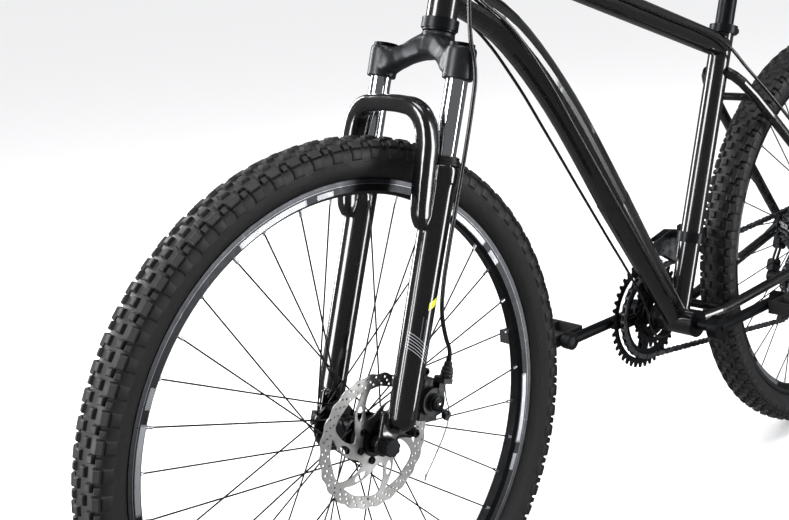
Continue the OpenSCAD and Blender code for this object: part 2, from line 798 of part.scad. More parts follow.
module tyre() {
    r = wheel_r;
    w = tyre_w / 2;
    bead = rim_d / 2 - 5.7;
    outer = [[bead, 9.2], [bead + 6.2, 9.6], [bead + 8.2, w - 13], [bead + 14, w - 5.5],
        [bead + 21, w - 1.5], [bead + 28, w], [r - 18, w], [r - 11, w - 1.5], [r - 5, w - 6],
        [r - 1, w - 14], [r, w - 22]];
    inner = [[bead, 5.6], [bead + 8, 7], [bead + 12, w - 14], [bead + 19, w - 6.5],
        [bead + 28, w - 4], [r - 17, w - 5], [r - 10, w - 11], [r - 6.5, w - 19]];
    spin_y(concat(
        [for (p = outer) [p.x, -p.y]],
        [for (i = [len(outer) - 1 : -1 : 0]) outer[i]],
        inner,
        [for (i = [len(inner) - 1 : -1 : 0]) [inner[i].x, -inner[i].y]]
    ));
}

module inner_tube() {
    rotate([-90, 0, 0]) rotate_extrude($fn = 96) translate([rim_d / 2 + 19, 0]) circle(d = 34);
    rotate([0, 95, 0]) {
        bar([248, 0, 0], [305, 0, 0], 6);
        bar([266, 0, 0], [272, 0, 0], 8);
    }
}

module rim() {
    r = rim_d / 2;
    w = rim_w / 2;
    difference() {
        spin_y(both_ways([[r - 18, 6], [r - 14, w - 1.2], [r, w], [r, w - 1.8], [r - 7, w - 2.4],
            [r - 9, 4]]));
        rotate([0, 95, 0]) bar([270, 0, 0], [300, 0, 0], 6.4);
    }
}

// Spokes cross three others on their way from the flange to the rim
module spoke_set(flange_left, flange_right, flange_r) {
    hole_step = 720 / spokes;
    for (k = [0 : spokes - 1]) {
        rim_a = 360 * k / spokes + 2.4;
        left = k % 2 == 0;
        leading = floor(k / 2) % 2 == 0 ? 1 : -1;
        hub_a = rim_a + leading * 3 * hole_step;
        y = (left ? flange_left : flange_right) + leading * 3.2;
        hub_p = [flange_r * cos(hub_a), y, flange_r * sin(hub_a)];
        rim_p = (rim_d / 2 - 10) * [cos(rim_a), (left ? 3 : -3) / (rim_d / 2 - 10), sin(rim_a)];
        bar(hub_p, rim_p, spoke_d);
        bar(rim_p - unit(rim_p - hub_p) * 16, rim_p, 4);
    }
}

module rotor(y) {
    r = rotor_d / 2;
    plate(y - rotor_t / 2, y + rotor_t / 2) difference() {
        union() {
            difference() {
                circle(r = r, $fn = 120);
                circle(r = r - 15, $fn = 120);
            }
            difference() {
                circle(r = 28);
                circle(r = 17.6);
            }
            for (i = [0 : 5]) rotate(60 * i) polygon([[16, -19], [27, -12], [r - 12, 9], [r - 13, 21],
                [r - 18, 19], [24, 6]]);
        }
        for (i = [0 : 5]) rotate(60 * i + 30) translate([22, 0]) circle(d = 5.4);
        for (i = [0 : 35]) rotate(10 * i) translate([r - 4 - 3.5 * (i % 3), 0]) circle(d = 4);
        circle(r = 17.6);
    }
}

module rotor_bolts(y) {
    for (i = [0 : 5]) rotate([0, -60 * i - 30, 0]) {
        across(22, 0, y - rotor_t / 2 - 9, y + rotor_t / 2 + 1, 5);
        across(22, 0, y + rotor_t / 2, y + rotor_t / 2 + 2.6, 9);
    }
}

// Hub shell with two flanges and a disc mount; its bore is open from end to end
module hub(flange_left, flange_right, disc_y, left_end, right_end, flange_r) {
    f = flange_r + 4;
    difference() {
        union() {
            across(0, 0, right_end, left_end, 34);
            across(0, 0, flange_left - 2, flange_left + 2, 2 * f);
            across(0, 0, flange_right - 2, flange_right + 2, 2 * f);
            across(0, 0, disc_y - 8, disc_y, 56);
        }
        across(0, 0, right_end - 1, left_end + 1, 25.2);
        for (i = [0 : 5]) rotate([0, -60 * i - 30, 0]) across(22, 0, disc_y - 12, disc_y + 1, 5.2);
    }
}

flange_r = 26;
front_flanges = [20, -34];
rear_flanges = [33, -20];
disc_face = front_rotor_y - rotor_t / 2;
rear_disc_face = rear_rotor_y - rotor_t / 2;

module front_tyre() { color("#1a1a1a") fork_frame() tyre(); }
module front_inner_tube() { color("#222222") fork_frame() inner_tube(); }
module front_rim() { color("#1d1e20") fork_frame() rim(); }
module front_spokes() { color("#3a3b3d") fork_frame() spoke_set(front_flanges[0], front_flanges[1], flange_r); }
module front_hub() {
    color("#121314") fork_frame() hub(front_flanges[0], front_flanges[1], disc_face, 42, -42, flange_r);
}
module front_rotor() {
    color("#c4c6ca") fork_frame() {
        rotor(front_rotor_y);
        rotor_bolts(front_rotor_y);
    }
}
module rear_tyre() { color("#1a1a1a") rear_frame() tyre(); }
module rear_inner_tube() { color("#222222") rear_frame() inner_tube(); }
module rear_rim() { color("#1d1e20") rear_frame() rim(); }
module rear_spokes() { color("#3a3b3d") rear_frame() spoke_set(rear_flanges[0], rear_flanges[1], flange_r); }
module rear_hub() {
    color("#121314") rear_frame() hub(rear_flanges[0], rear_flanges[1], rear_disc_face, 58, -44, flange_r);
}
module rear_rotor() {
    color("#c4c6ca") rear_frame() {
        rotor(rear_rotor_y);
        rotor_bolts(rear_rotor_y);
    }
}

module freewheel() {
    color("#8d8f93") rear_frame() difference() {
        union() {
            across(0, 0, -61.2, -28, 44);
            for (i = [0 : len(cog_teeth) - 1]) {
                y = chain_y - cog_step * (chain_cog - i);
                plate(y - 0.9, y + 0.9) sprocket(cog_teeth[i]);
            }
        }
        across(0, 0, -63, -27, 34 + 2 * fit);
    }
}

module rear_axle() {
    color("#2b2c2f") rear_frame() {
        difference() {
            union() {
                across(0, 0, -drop_y - 5, drop_y + 5, axle_d);
                across(0, 0, 44, drop_y, 18);
                across(0, 0, -drop_y, -31, 18);
            }
            across(0, 0, -80, 80, 5.6);
        }
        across(0, 0, -81, 84, skewer_d);
        difference() {
            across(0, 0, -86, -drop_y - 6.5, 18);
            across(0, 0, -81.1, -70, skewer_d + 2 * fit);
        }
        difference() {
            across(0, 0, drop_y + 6.5, 84, 17);
            across(0, 0, 70, 85, skewer_d + 2 * fit);
        }
        for (y = [-27.9, 40.9], i = [0 : 9])
            translate([10.2 * cos(36 * i), y, 10.2 * sin(36 * i)]) sphere(d = 4.6, $fn = 16);
        for (y = [-31, 37.8]) difference() {
            across(0, 0, y, y + 6.2, 15.4);
            across(0, 0, y - 1, y + 8, axle_d);
        }
    }
}

module rear_qr_lever() {
    color("#202124") rear_frame() translate([0, 89.3, 0]) rotate([0, 0, 180]) rotate([0, 20, 0])
        qr_lever();
}

// ---- Drivetrain ----

module ring_plate(teeth, inner_r) {
    difference() {
        union() {
            difference() {
                sprocket(teeth);
                circle(r = inner_r);
            }
            for (i = [0 : 4]) rotate(72 * i) translate([27, -7]) square([inner_r - 25, 14]);
            circle(r = 33);
        }
        circle(r = 25);
    }
}

module chainrings() {
    color("#1f2023") translate(bb) {
        for (i = [0 : 2]) {
            y = chain_y - ring_step * (i - 1);
            plate(y - 1, y + 1) ring_plate(ring_teeth[i], pitch_r(ring_teeth[i]) - 12);
        }
        for (i = [0 : 4]) rotate([0, -72 * i, 0]) across(29, 0, -59, -41, 6.4);
    }
}

module crank_arm(inner_y) {
    // Arm from the axle to the pedal along X
    difference() {
        union() {
            across(0, 0, inner_y, inner_y + 16, 36);
            bar([0, inner_y + 9, 0], [crank_len, inner_y + 9, 0], 17);
            across(crank_len, 0, inner_y + 1, inner_y + 15, 26);
        }
        across(crank_len, 0, inner_y - 1, inner_y + 19, 14 + 2 * fit);
    }
}

module crank_right() {
    color("#1f2023") translate(bb) {
        mirror([0, 1, 0]) crank_arm(66);
        across(0, 0, -70, 75.9, 17);
        // Spider that carries the chainrings
        across(0, 0, -67, -59, 44);
        for (i = [0 : 4]) rotate([0, -72 * i, 0]) block([10, -63, -6], [36, -59.1, 6]);
    }
}

module crank_left() {
    color("#1f2023") translate(bb) difference() {
        mirror([1, 0, 0]) crank_arm(62);
        across(0, 0, 60, 76, 17 + 2 * fit);
    }
}

// Platform pedal drawn on the left: its spindle runs out along Y from the crank
module pedal(inner_y) {
    y0 = inner_y + 19;
    across(0, 0, inner_y + 2, inner_y + 17, 14);
    across(0, 0, inner_y + 14, y0 + 84, 8);
    difference() {
        union() {
            across(0, 0, y0, y0 + 88, 20);
            for (x = [-44, 40]) block([x, y0, -10], [x + 4, y0 + 90, 10]);
            for (y = [y0, y0 + 43, y0 + 86]) block([-44, y, -9], [44, y + 4, 9]);
        }
        across(0, 0, y0 - 1, y0 + 84.5, 8 + 2 * fit);
    }
}

module pedal_right() {
    color("#17181a") translate(bb + [crank_len, 0, 0]) mirror([0, 1, 0]) pedal(66);
}

module pedal_left() {
    color("#17181a") translate(bb + [-crank_len, 0, 0]) pedal(62);
}

// The chain's loop runs over the ring, the cog and both pulleys. Each wheel is
// [x, z, radius, side]; side is -1 where the chain passes round it the other way.
wheels = [
    [bb.x, bb.z, pitch_r(ring_teeth[1]), 1], [tension_at.x, tension_at.z, pitch_r(guide_teeth), 1],
    [guide_at.x, guide_at.z, pitch_r(guide_teeth), -1],
    [rear_x, axle_z, pitch_r(cog_teeth[chain_cog]), 1],
];

// Direction from each wheel's centre to where the run to the next one leaves it
function run_angle(a, b) = let (d = [b.x - a.x, b.y - a.y])
    atan2(d.y, d.x) + acos((a[2] * a[3] - b[2] * b[3]) / norm(d));
function rim_point(w, a, r) = [w.x + r * w[3] * cos(a), w.y + r * w[3] * sin(a)];
function chain_outline(grow) = [
    for (i = [0 : 3])
        let (w = wheels[i], a0 = run_angle(wheels[(i + 3) % 4], w), a1 = run_angle(w, wheels[(i + 1) % 4]),
            turn = w[3] > 0 ? -((a0 - a1 + 720) % 360) : (a1 - a0 + 720) % 360)
            for (k = [0 : 8]) rim_point(w, a0 + turn * k / 8, w[2] + w[3] * grow),
];

module chain() {
    color("#6b6d70") {
        for (y = [chain_y - 4, chain_y + 2.6]) plate(y, y + 1.4) difference() {
            polygon(chain_outline(4));
            polygon(chain_outline(-4));
        }
        // Rollers of the top run
        top_a = wheels[3];
        top_b = wheels[0];
        from = rim_point(top_a, run_angle(top_a, top_b), top_a[2]);
        to = rim_point(top_b, run_angle(top_a, top_b), top_b[2]);
        steps = floor(norm(to - from) / pitch);
        for (i = [2 : steps - 3]) {
            p = from + (to - from) * i / steps;
            across(p.x, p.y, chain_y - 3, chain_y + 3, 7.6);
        }
    }
}

derailleur_h = 128;

module front_derailleur() {
    place = on_seat_tube(derailleur_h);
    color("#26272a") difference() {
        union() {
            bar(on_seat_tube(derailleur_h - 8), on_seat_tube(derailleur_h + 8), seat_tube_d + 9);
            block(place + [-44, -34, -12], place + [-14, -8, 12]);
        }
        bar(on_seat_tube(derailleur_h - 30), on_seat_tube(derailleur_h + 30), seat_tube_d + 2 * fit);
        for (z = [-5, 6]) across(place.x - 34, place.z + z, -36, -4, 6 + 2 * fit);
    }
}

module derailleur_cage_front() {
    place = on_seat_tube(derailleur_h);
    color("#9a9ca0") {
        for (y = [-57.2, -44.2]) translate(bb) plate(y, y + 1.4) polygon([[12, 94], [-30, 90],
            [-62, 71], [-84, 60], [-118, 56], [-126, 76], [-112, 94], [-84, 118], [-50, 126],
            [12, 112]]);
        block([place.x - 42, -57.2, bb.z + 112], [place.x - 20, -42.8, bb.z + 116]);
        for (z = [-5, 6]) across(place.x - 34, place.z + z, -43, -20, 6);
    }
}

module link_frame() {
    translate(link_at) rotate([0, -link_tilt, 0]) children();
}

// A pin with a cheek at each end and a bridge between them, for the link's barrel
module link_knuckle(bridge_z0, bridge_z1) {
    bar([-14, 0, 0], [14, 0, 0], 4);
    for (x = [-14, 10.3]) {
        bar([x, 0, 0], [x + 3.7, 0, 0], 12);
        block([x, -6, min(0, bridge_z0)], [x + 3.7, 6, max(0, bridge_z1)]);
    }
    block([-14, -6, bridge_z0], [14, 6, bridge_z1]);
}

module rear_derailleur() {
    color("#2b2c2f") {
        difference() {
            across(hanger_at.x, hanger_at.z, -90, -drop_y - 6.6, 22);
            link_frame() bar([-10.2, 0, 0], [10.2, 0, 0], 11);
        }
        across(hanger_at.x, hanger_at.z, -75, -drop_y + 1, 9.6);
        link_frame() link_knuckle(6, 18);
        // Arm that takes the end of the gear cable
        block([hanger_at.x - 18, -92, hanger_at.z - 19], [hanger_at.x - 6, -84, hanger_at.z + 2]);
    }
}

link_end = [0, -link_out, -link_len];

module derailleur_link() {
    color("#3a3b3f") link_frame() difference() {
        union() {
            bar([-10, 0, 0], [10, 0, 0], 10);
            translate(link_end) bar([-10, 0, 0], [10, 0, 0], 10);
            for (x = [-7, 7]) bar([x, 0, 0], link_end + [x, 0, 0], 5);
        }
        bar([-12, 0, 0], [12, 0, 0], 4.2);
        translate(link_end) bar([-12, 0, 0], [12, 0, 0], 4.2);
    }
}

module derailleur_knuckle() {
    color("#2b2c2f") difference() {
        union() {
            link_frame() translate(link_end) link_knuckle(-16, -6);
            across(guide_at.x, guide_at.z, -88, -58, 22);
        }
        across(guide_at.x, guide_at.z, -72, -57, 8 + 2 * fit);
    }
}

module derailleur_cage() {
    color("#2b2c2f") {
        for (y = [-57.4, -44.1]) {
            for (p = [guide_at, tension_at]) across(p.x, p.z, y, y + 1.5, 20);
            hull() for (p = [guide_at, tension_at])
                translate([p.x, y, p.z]) rotate([-90, 0, 0]) cylinder(h = 1.5, d = 14, $fn = 32);
        }
        for (p = [guide_at, tension_at]) across(p.x, p.z, -57, -43.4, 5);
        across(guide_at.x, guide_at.z, -71, -57, 8);
    }
}

module pulley(p) {
    translate(p) difference() {
        union() {
            plate(chain_y - 1, chain_y + 1) sprocket(guide_teeth);
            across(0, 0, chain_y - 4, chain_y + 4, 18);
        }
        across(0, 0, chain_y - 6, chain_y + 6, 5 + 2 * fit);
    }
}

module guide_pulley() { color("#151515") pulley(guide_at); }
module tension_pulley() { color("#151515") pulley(tension_at); }

// ---- Cable runs along the frame ----

module frame_cables() {
    color("#0d0d0e") {
        cord(rear_brake_route, 5, 3);
        cord(left_shift_route, 4, 4);
        cord(right_shift_route, 4, 3);
    }
    // Bare wire of the rear brake
    color("#b9bbbf") at_rear_caliper() brake_wire();
}

main_frame();
rear_triangle();
headset();
bottom_bracket();
seat_clamp();
seatpost();
saddle_rails();
saddle();
fork_crown();
stanchions();
headset_spacers();
stem();
handlebar();
grips();
control_pods();
brake_lever_left();
brake_lever_right();
shift_lever_left();
shift_lever_right();
fork_lowers();
dust_seals();
fork_springs();
front_axle();
front_qr_lever();
front_caliper();
front_caliper_arm();
front_brake_housing();
front_brake_wire();
front_tyre();
front_inner_tube();
front_rim();
front_spokes();
front_hub();
front_rotor();
rear_tyre();
rear_inner_tube();
rear_rim();
rear_spokes();
rear_hub();
rear_rotor();
freewheel();
rear_axle();
rear_qr_lever();
rear_caliper();
rear_caliper_arm();
frame_cables();
chainrings();
crank_right();
crank_left();
pedal_right();
pedal_left();
chain();
front_derailleur();
derailleur_cage_front();
rear_derailleur();
derailleur_link();
derailleur_knuckle();
derailleur_cage();
guide_pulley();
tension_pulley();
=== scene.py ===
import math

import bpy
from mathutils import Matrix, Vector


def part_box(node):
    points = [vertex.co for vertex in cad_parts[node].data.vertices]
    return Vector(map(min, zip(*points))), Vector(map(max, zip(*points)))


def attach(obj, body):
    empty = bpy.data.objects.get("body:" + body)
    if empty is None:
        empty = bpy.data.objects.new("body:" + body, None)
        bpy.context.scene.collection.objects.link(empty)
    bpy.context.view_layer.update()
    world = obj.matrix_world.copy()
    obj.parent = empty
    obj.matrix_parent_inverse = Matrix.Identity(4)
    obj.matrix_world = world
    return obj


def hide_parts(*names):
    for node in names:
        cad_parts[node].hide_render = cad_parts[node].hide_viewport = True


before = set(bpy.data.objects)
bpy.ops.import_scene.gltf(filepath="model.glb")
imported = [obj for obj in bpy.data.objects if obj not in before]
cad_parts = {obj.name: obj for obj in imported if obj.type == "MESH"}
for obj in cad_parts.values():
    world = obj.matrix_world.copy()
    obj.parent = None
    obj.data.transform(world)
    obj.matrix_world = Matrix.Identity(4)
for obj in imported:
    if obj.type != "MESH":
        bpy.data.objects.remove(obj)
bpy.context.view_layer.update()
bpy.ops.object.select_all(action="DESELECT")

# ---- Camera ----
# A short telephoto held at saddle height, ahead of the bike and on its left.
# It is tipped a little, so that the fork leans across the picture.
camera = bpy.data.objects.new("camera", bpy.data.cameras.new("camera"))
bpy.context.scene.collection.objects.link(camera)
bpy.context.scene.camera = camera
camera.data.lens = 50.9
camera.data.sensor_width = 36
aim = Vector((-0.63153, -0.72968, -0.26216)).normalized()
level = aim.cross(Vector((0, 0, 1))).normalized()
upright = level.cross(aim)
roll = math.radians(-4.8)
camera_x = level * math.cos(roll) + upright * math.sin(roll)
camera_y = upright * math.cos(roll) - level * math.sin(roll)
camera.matrix_world = Matrix.Translation((1.2834, 0.9526, 0.8755)) @ Matrix(
    (camera_x, camera_y, -aim)
).transposed().to_4x4()

# ---- Studio ----
# A seamless white floor under a wide overhead diffuser, and long soft boxes around the bike.
# The boxes draw the straight white lines that gloss paint and chrome show, and the room stays dim
# so that black stays black between them.


def linear(code):
    """A colour from its sRGB hex code."""
    values = [int(code[i : i + 2], 16) / 255 for i in (0, 2, 4)]
    return tuple(v / 12.92 if v <= 0.04045 else ((v + 0.055) / 1.055) ** 2.4 for v in values) + (1,)


def add_node(material, kind, sockets, **settings):
    """Adds a node, sets it up, and fills its sockets with values or other nodes' outputs."""
    made = material.node_tree.nodes.new(kind)
    for name, value in settings.items():
        setattr(made, name, value)
    for socket, value in sockets.items():
        if isinstance(value, bpy.types.NodeSocket):
            material.node_tree.links.new(value, made.inputs[socket])
        else:
            made.inputs[socket].default_value = value
    return made


def grained_finish(name, dark, light, grain, roughness, bump, sockets=()):
    """A finish with blotches of two close colours, uneven gloss and a fine relief.

    grain is the size of the relief in mm, roughness its range, and bump its depth in mm.
    """
    material = bpy.data.materials.new(name)
    material.use_nodes = True
    surface = material.node_tree.nodes["Principled BSDF"]
    for socket, value in dict(sockets).items():
        surface.inputs[socket].default_value = value
    place = add_node(material, "ShaderNodeTexCoord", {}).outputs["Object"]
    blotch = add_node(material, "ShaderNodeTexNoise",
        {"Vector": place, "Scale": 1000 / (14 * grain), "Detail": 5.0, "Roughness": 0.62})
    colour = add_node(material, "ShaderNodeMix",
        {"Factor": blotch.outputs["Fac"], 6: linear(dark), 7: linear(light)}, data_type="RGBA")
    gloss = add_node(material, "ShaderNodeMapRange", {"Value": blotch.outputs["Fac"],
        "From Min": 0.3, "From Max": 0.7, "To Min": roughness[0], "To Max": roughness[1]})
    relief = add_node(material, "ShaderNodeTexNoise",
        {"Vector": place, "Scale": 1000 / grain, "Detail": 3.0})
    dents = add_node(material, "ShaderNodeBump",
        {"Height": relief.outputs["Fac"], "Strength": 0.6, "Distance": bump / 1000})
    links = material.node_tree.links
    links.new(colour.outputs[2], surface.inputs["Base Color"])
    links.new(gloss.outputs[0], surface.inputs["Roughness"])
    links.new(dents.outputs[0], surface.inputs["Normal"])
    return material


paper = grained_finish("background_paper", "F2F2F3", "F8F8F9", 3, (0.7, 0.9), 0.02)
bpy.ops.mesh.primitive_plane_add(size=600)
floor = bpy.context.object
floor.name = "floor"
floor.visible_glossy = False
floor.data.materials.append(paper)

room = bpy.data.worlds.new("room")
bpy.context.scene.world = room
room.use_nodes = True
room.node_tree.nodes["Background"].inputs["Color"].default_value = linear("F7F8FA")
room.node_tree.nodes["Background"].inputs["Strength"].default_value = 0.16
bpy.context.scene.view_settings.view_transform = "Standard"


def soft_box(name, at, towards, width, height, watts):
    lamp = bpy.data.lights.new(name, "AREA")
    lamp.shape = "RECTANGLE"
    lamp.size = width
    lamp.size_y = height
    lamp.energy = watts
    box = bpy.data.objects.new(name, lamp)
    bpy.context.scene.collection.objects.link(box)
    box.location = at
    box.rotation_euler = (Vector(towards) - Vector(at)).to_track_quat("-Z", "Y").to_euler()
    box.visible_camera = False


soft_box("top_box", (0.6, 0.4, 3.4), (0.3, 0, 0.5), 2.0, 1.2, 60)
soft_box("left_box", (-1.5, 2.6, 0.7), (0.3, 0, 0.6), 0.7, 3.4, 95)
soft_box("front_box", (3.4, -0.7, 1.3), (0.5, 0, 0.6), 1.3, 2.6, 150)
soft_box("right_box", (0.9, -3.2, 1.5), (0.1, 0, 0.5), 0.9, 2.6, 110)
sky = bpy.data.objects.new("overhead_diffuser", bpy.data.lights.new("overhead_diffuser", "SUN"))
bpy.context.scene.collection.objects.link(sky)
sky.data.energy = 2.8
sky.data.angle = math.radians(80)
sky.rotation_euler = (math.radians(8), math.radians(-6), 0)
sky.visible_glossy = False

# ---- Frame and its fittings ----
# Butted aluminium tubes, welded, then sprayed with black enamel under a clear coat.
# The coat gives hard, bright reflections over a colour that is almost without light.


def give(finish, *nodes):
    """Gives CAD nodes their finish."""
    for name in nodes:
        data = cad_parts[name].data
        data.materials.clear()
        data.materials.append(finish)


enamel = grained_finish("black_enamel_clear_coated", "060607", "0B0B0D", 4, (0.2, 0.28), 0.0012,
    {"Coat Weight": 1.0, "Coat Roughness": 0.03, "IOR": 1.5})
anodised = grained_finish("black_anodised_aluminium", "17181A", "232427", 0.5, (0.3, 0.42), 0.01,
    {"Metallic": 0.85})
black_steel = grained_finish("black_plated_steel", "141517", "1F2023", 0.8, (0.28, 0.4), 0.01,
    {"Metallic": 0.7})
moulded = grained_finish("moulded_black_nylon", "121213", "1A1A1C", 0.9, (0.42, 0.55), 0.03)
bright_steel = grained_finish("bright_plated_steel", "A9ABAF", "C9CBCF", 0.6, (0.16, 0.3), 0.006,
    {"Metallic": 1.0})
give(enamel, "main_frame", "rear_triangle")
give(black_steel, "headset", "seat_clamp", "bottom_bracket", "saddle_rails")
give(anodised, "seatpost", "stem", "handlebar", "headset_spacers")

# ---- Placing pieces ----
# The fork stands on its axle and leans back by the head angle, and its pieces are made upright.
# The wheels' centres come from the rims. Outlines and routes are in mm.


def middle(node):
    low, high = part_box(node)
    return (Vector(low) + Vector(high)) / 2


front_axle = middle("front_rim")
rear_axle = middle("rear_rim")
in_fork = Matrix.Translation(front_axle) @ Matrix.Rotation(math.radians(-18.5), 4, "Y")
in_rear = Matrix.Translation(rear_axle)
# Places in the fork's frame, in m: a leg, a leg's side, and the steerer
leg_x, leg_y, steerer_x = -0.0127, 0.064, -0.0345


def settle(piece, place, finish, body):
    """Puts a piece in its place, with the place in its mesh, and gives it its finish and body."""
    piece.data.transform(place @ piece.matrix_world)
    piece.matrix_world = Matrix.Identity(4)
    if place.determinant() < 0:
        piece.data.flip_normals()
    piece.data.materials.clear()
    piece.data.materials.append(finish)
    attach(piece, body)
    return piece


def start_edit(piece):
    bpy.ops.object.select_all(action="DESELECT")
    piece.select_set(True)
    bpy.context.view_layer.objects.active = piece
    bpy.ops.object.mode_set(mode="EDIT")
    bpy.ops.mesh.select_all(action="SELECT")


def end_edit():
    bpy.ops.object.mode_set(mode="OBJECT")


def turned(name, outline, steps, axis="Z"):
    """A piece turned on a lathe from an outline of (radius, height) points in mm."""
    bpy.ops.mesh.primitive_plane_add(size=0.001)
    piece = bpy.context.object
    piece.name = name
    start_edit(piece)
    bpy.ops.mesh.merge(type="CENTER")
    points = [Vector((r, 0, h) if axis == "Z" else (r, h, 0)) / 1000 for r, h in outline]
    bpy.ops.transform.translate(value=points[0])
    for here, there in zip(points, points[1:]):
        bpy.ops.mesh.extrude_region_move(TRANSFORM_OT_translate={"value": there - here})
    bpy.ops.mesh.select_all(action="SELECT")
    turn_axis = (0, 0, 1) if axis == "Z" else (0, 1, 0)
    bpy.ops.mesh.spin(steps=steps, angle=2 * math.pi, center=(0, 0, 0), axis=turn_axis)
    bpy.ops.mesh.select_all(action="SELECT")
    bpy.ops.mesh.remove_doubles(threshold=0.00001)
    bpy.ops.mesh.normals_make_consistent(inside=False)
    end_edit()
    bpy.ops.object.shade_smooth_by_angle(angle=math.radians(35))
    return piece


def repeated(piece, places, name):
    """Copies of a piece, each with its own mesh, joined as one and smoothed."""
    copies = []
    for place in places:
        copy = piece.copy()
        copy.data = piece.data.copy()
        bpy.context.scene.collection.objects.link(copy)
        copy.data.transform(place @ piece.matrix_world)
        copy.matrix_world = Matrix.Identity(4)
        if place.determinant() < 0:
            copy.data.flip_normals()
        copies.append(copy)
    bpy.data.objects.remove(piece)
    bpy.ops.object.select_all(action="DESELECT")
    for copy in copies:
        copy.select_set(True)
    bpy.context.view_layer.objects.active = copies[0]
    bpy.ops.object.join()
    copies[0].name = name
    bpy.ops.object.shade_smooth_by_angle(angle=math.radians(35))
    return copies[0]


# ---- Cables ----
# Spiral-wound housings under a smooth black plastic skin: 5 mm for the brakes, 4 mm for the gears.
# They run from the levers to the calipers and derailleurs in long easy curves.
brake_housing, shift_housing, bare_wire = 5, 4, 1.6
housing_skin = grained_finish("extruded_black_vinyl", "0C0C0D", "151517", 1.2, (0.22, 0.32), 0.008,
    {"Coat Weight": 0.3, "Coat Roughness": 0.1})


def run_cable(name, route, thickness, place, finish, body, ends=True):
    """A cable along a route in mm, with a crimped metal ferrule over each end."""
    line = bpy.data.curves.new(name, "CURVE")
    line.dimensions = "3D"
    line.resolution_u = 6
    line.bevel_depth = thickness / 2000
    line.bevel_resolution = 4
    line.use_fill_caps = True
    spline = line.splines.new("BEZIER")
    spline.bezier_points.add(len(route) - 1)
    for knot, point in zip(spline.bezier_points, route):
        knot.co = Vector(point) / 1000
        knot.handle_left_type = "AUTO"
        knot.handle_right_type = "AUTO"
    cable = bpy.data.objects.new(name, line)
    bpy.context.scene.collection.objects.link(cable)
    bpy.ops.object.select_all(action="DESELECT")
    cable.select_set(True)
    bpy.context.view_layer.objects.active = cable
    bpy.ops.object.convert(target="MESH")
    cable = bpy.context.object
    cable.data.name = name
    bpy.ops.object.shade_smooth()
    settle(cable, place, finish, body)
    if ends:
        caps = []
        for i, (tip, back) in enumerate(((route[0], route[1]), (route[-1], route[-2]))):
            tip, back = Vector(tip) / 1000, Vector(back) / 1000
            cap = turned(f"{name}_ferrule_{i}", [(0.3, 0), (3, 0), (3.2, 0.4), (3.2, 3), (2.9, 3.4),
                (2.9, 4.2), (3.2, 4.6), (3.2, 9.4), (2.6, 10)], 20)
            turn = (back - tip).to_track_quat("Z", "Y").to_matrix().to_4x4()
            caps.append(settle(cap, place @ Matrix.Translation(tip) @ turn, black_steel, body))
    return cable


front_brake = run_cable("front_brake_cable", [
    (65, 179.4, 660), (68.5, 150, 660), (67, 122, 650), (54, 104, 615), (30, 93, 556), (8, 86, 492),
    (-3, 85, 460), (-13, 85, 440), (-19, 85.5, 420), (-21, 85.5, 395), (-22, 85.5, 342),
    (-22, 85, 285), (-23, 83.5, 228), (-25, 82.6, 188), (-33, 80, 156), (-48, 77, 130),
    (-61, 74.6, 112), (-62, 74.2, 97.6)], brake_housing, in_fork, housing_skin, "steering")
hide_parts("front_brake_housing")
rear_brake = run_cable("rear_brake_cable", [
    (397, -179.4, 992), (401, -150, 992.5), (412, -110, 986), (426, -60, 968), (428, -10, 948),
    (408, 24, 926), (368, 34, 902), (310, 28, 884), (240, 25, 863), (160, 24, 837), (80, 24, 810),
    (0, 24, 783), (-80, 24, 756), (-150, 25, 733), (-206, 27, 708), (-250, 34, 668),
    (-296, 46, 622), (-350, 54, 570), (-404, 62, 518), (-436, 74, 496), (-468, 84, 475),
    (-500.2, 87.2, 452.2)], brake_housing, Matrix.Identity(4), housing_skin, "frame")
left_shift = run_cable("left_shift_cable", [
    (384, 147.4, 982), (388, 124, 981), (402, 96, 970), (411, 66, 946), (400, 44, 908),
    (366, 34, 860), (322, 29, 822), (270, 28, 784), (212, 28, 720), (150, 28, 634), (90, 28, 550),
    (28, 28, 464), (-34, 28, 379), (-60, 28, 344)], shift_housing, Matrix.Identity(4), housing_skin,
    "frame")
right_shift = run_cable("right_shift_cable", [
    (384, -147.4, 982), (389, -124, 981), (402, -98, 968), (412, -72, 942), (402, -48, 904),
    (366, -34, 856), (322, -29, 818), (266, -28, 776), (208, -28, 712), (146, -28, 628),
    (86, -28, 544), (24, -28, 458), (-38, -28, 372), (-66, -28, 326), (-78, -29, 292),
    (-96, -30, 270), (-126, -32, 264), (-170, -42, 276), (-280, -59, 300), (-370, -69, 312),
    (-460, -79, 322), (-540, -91, 340), (-584, -94, 344), (-606, -92, 328), (-600, -89, 310),
    (-577.2, -88, 305)], shift_housing, Matrix.Identity(4), housing_skin, "frame")

# ---- Fork lowers ----
# One magnesium casting: two legs, the bridge in front of them, dropouts and brake tabs.
# It is sprayed gloss black, so every bend in it carries a sharp white line. The bridge is an
# arched bar that stands ahead of the legs and runs down into them.
brake_tab_heights = (15, 87)


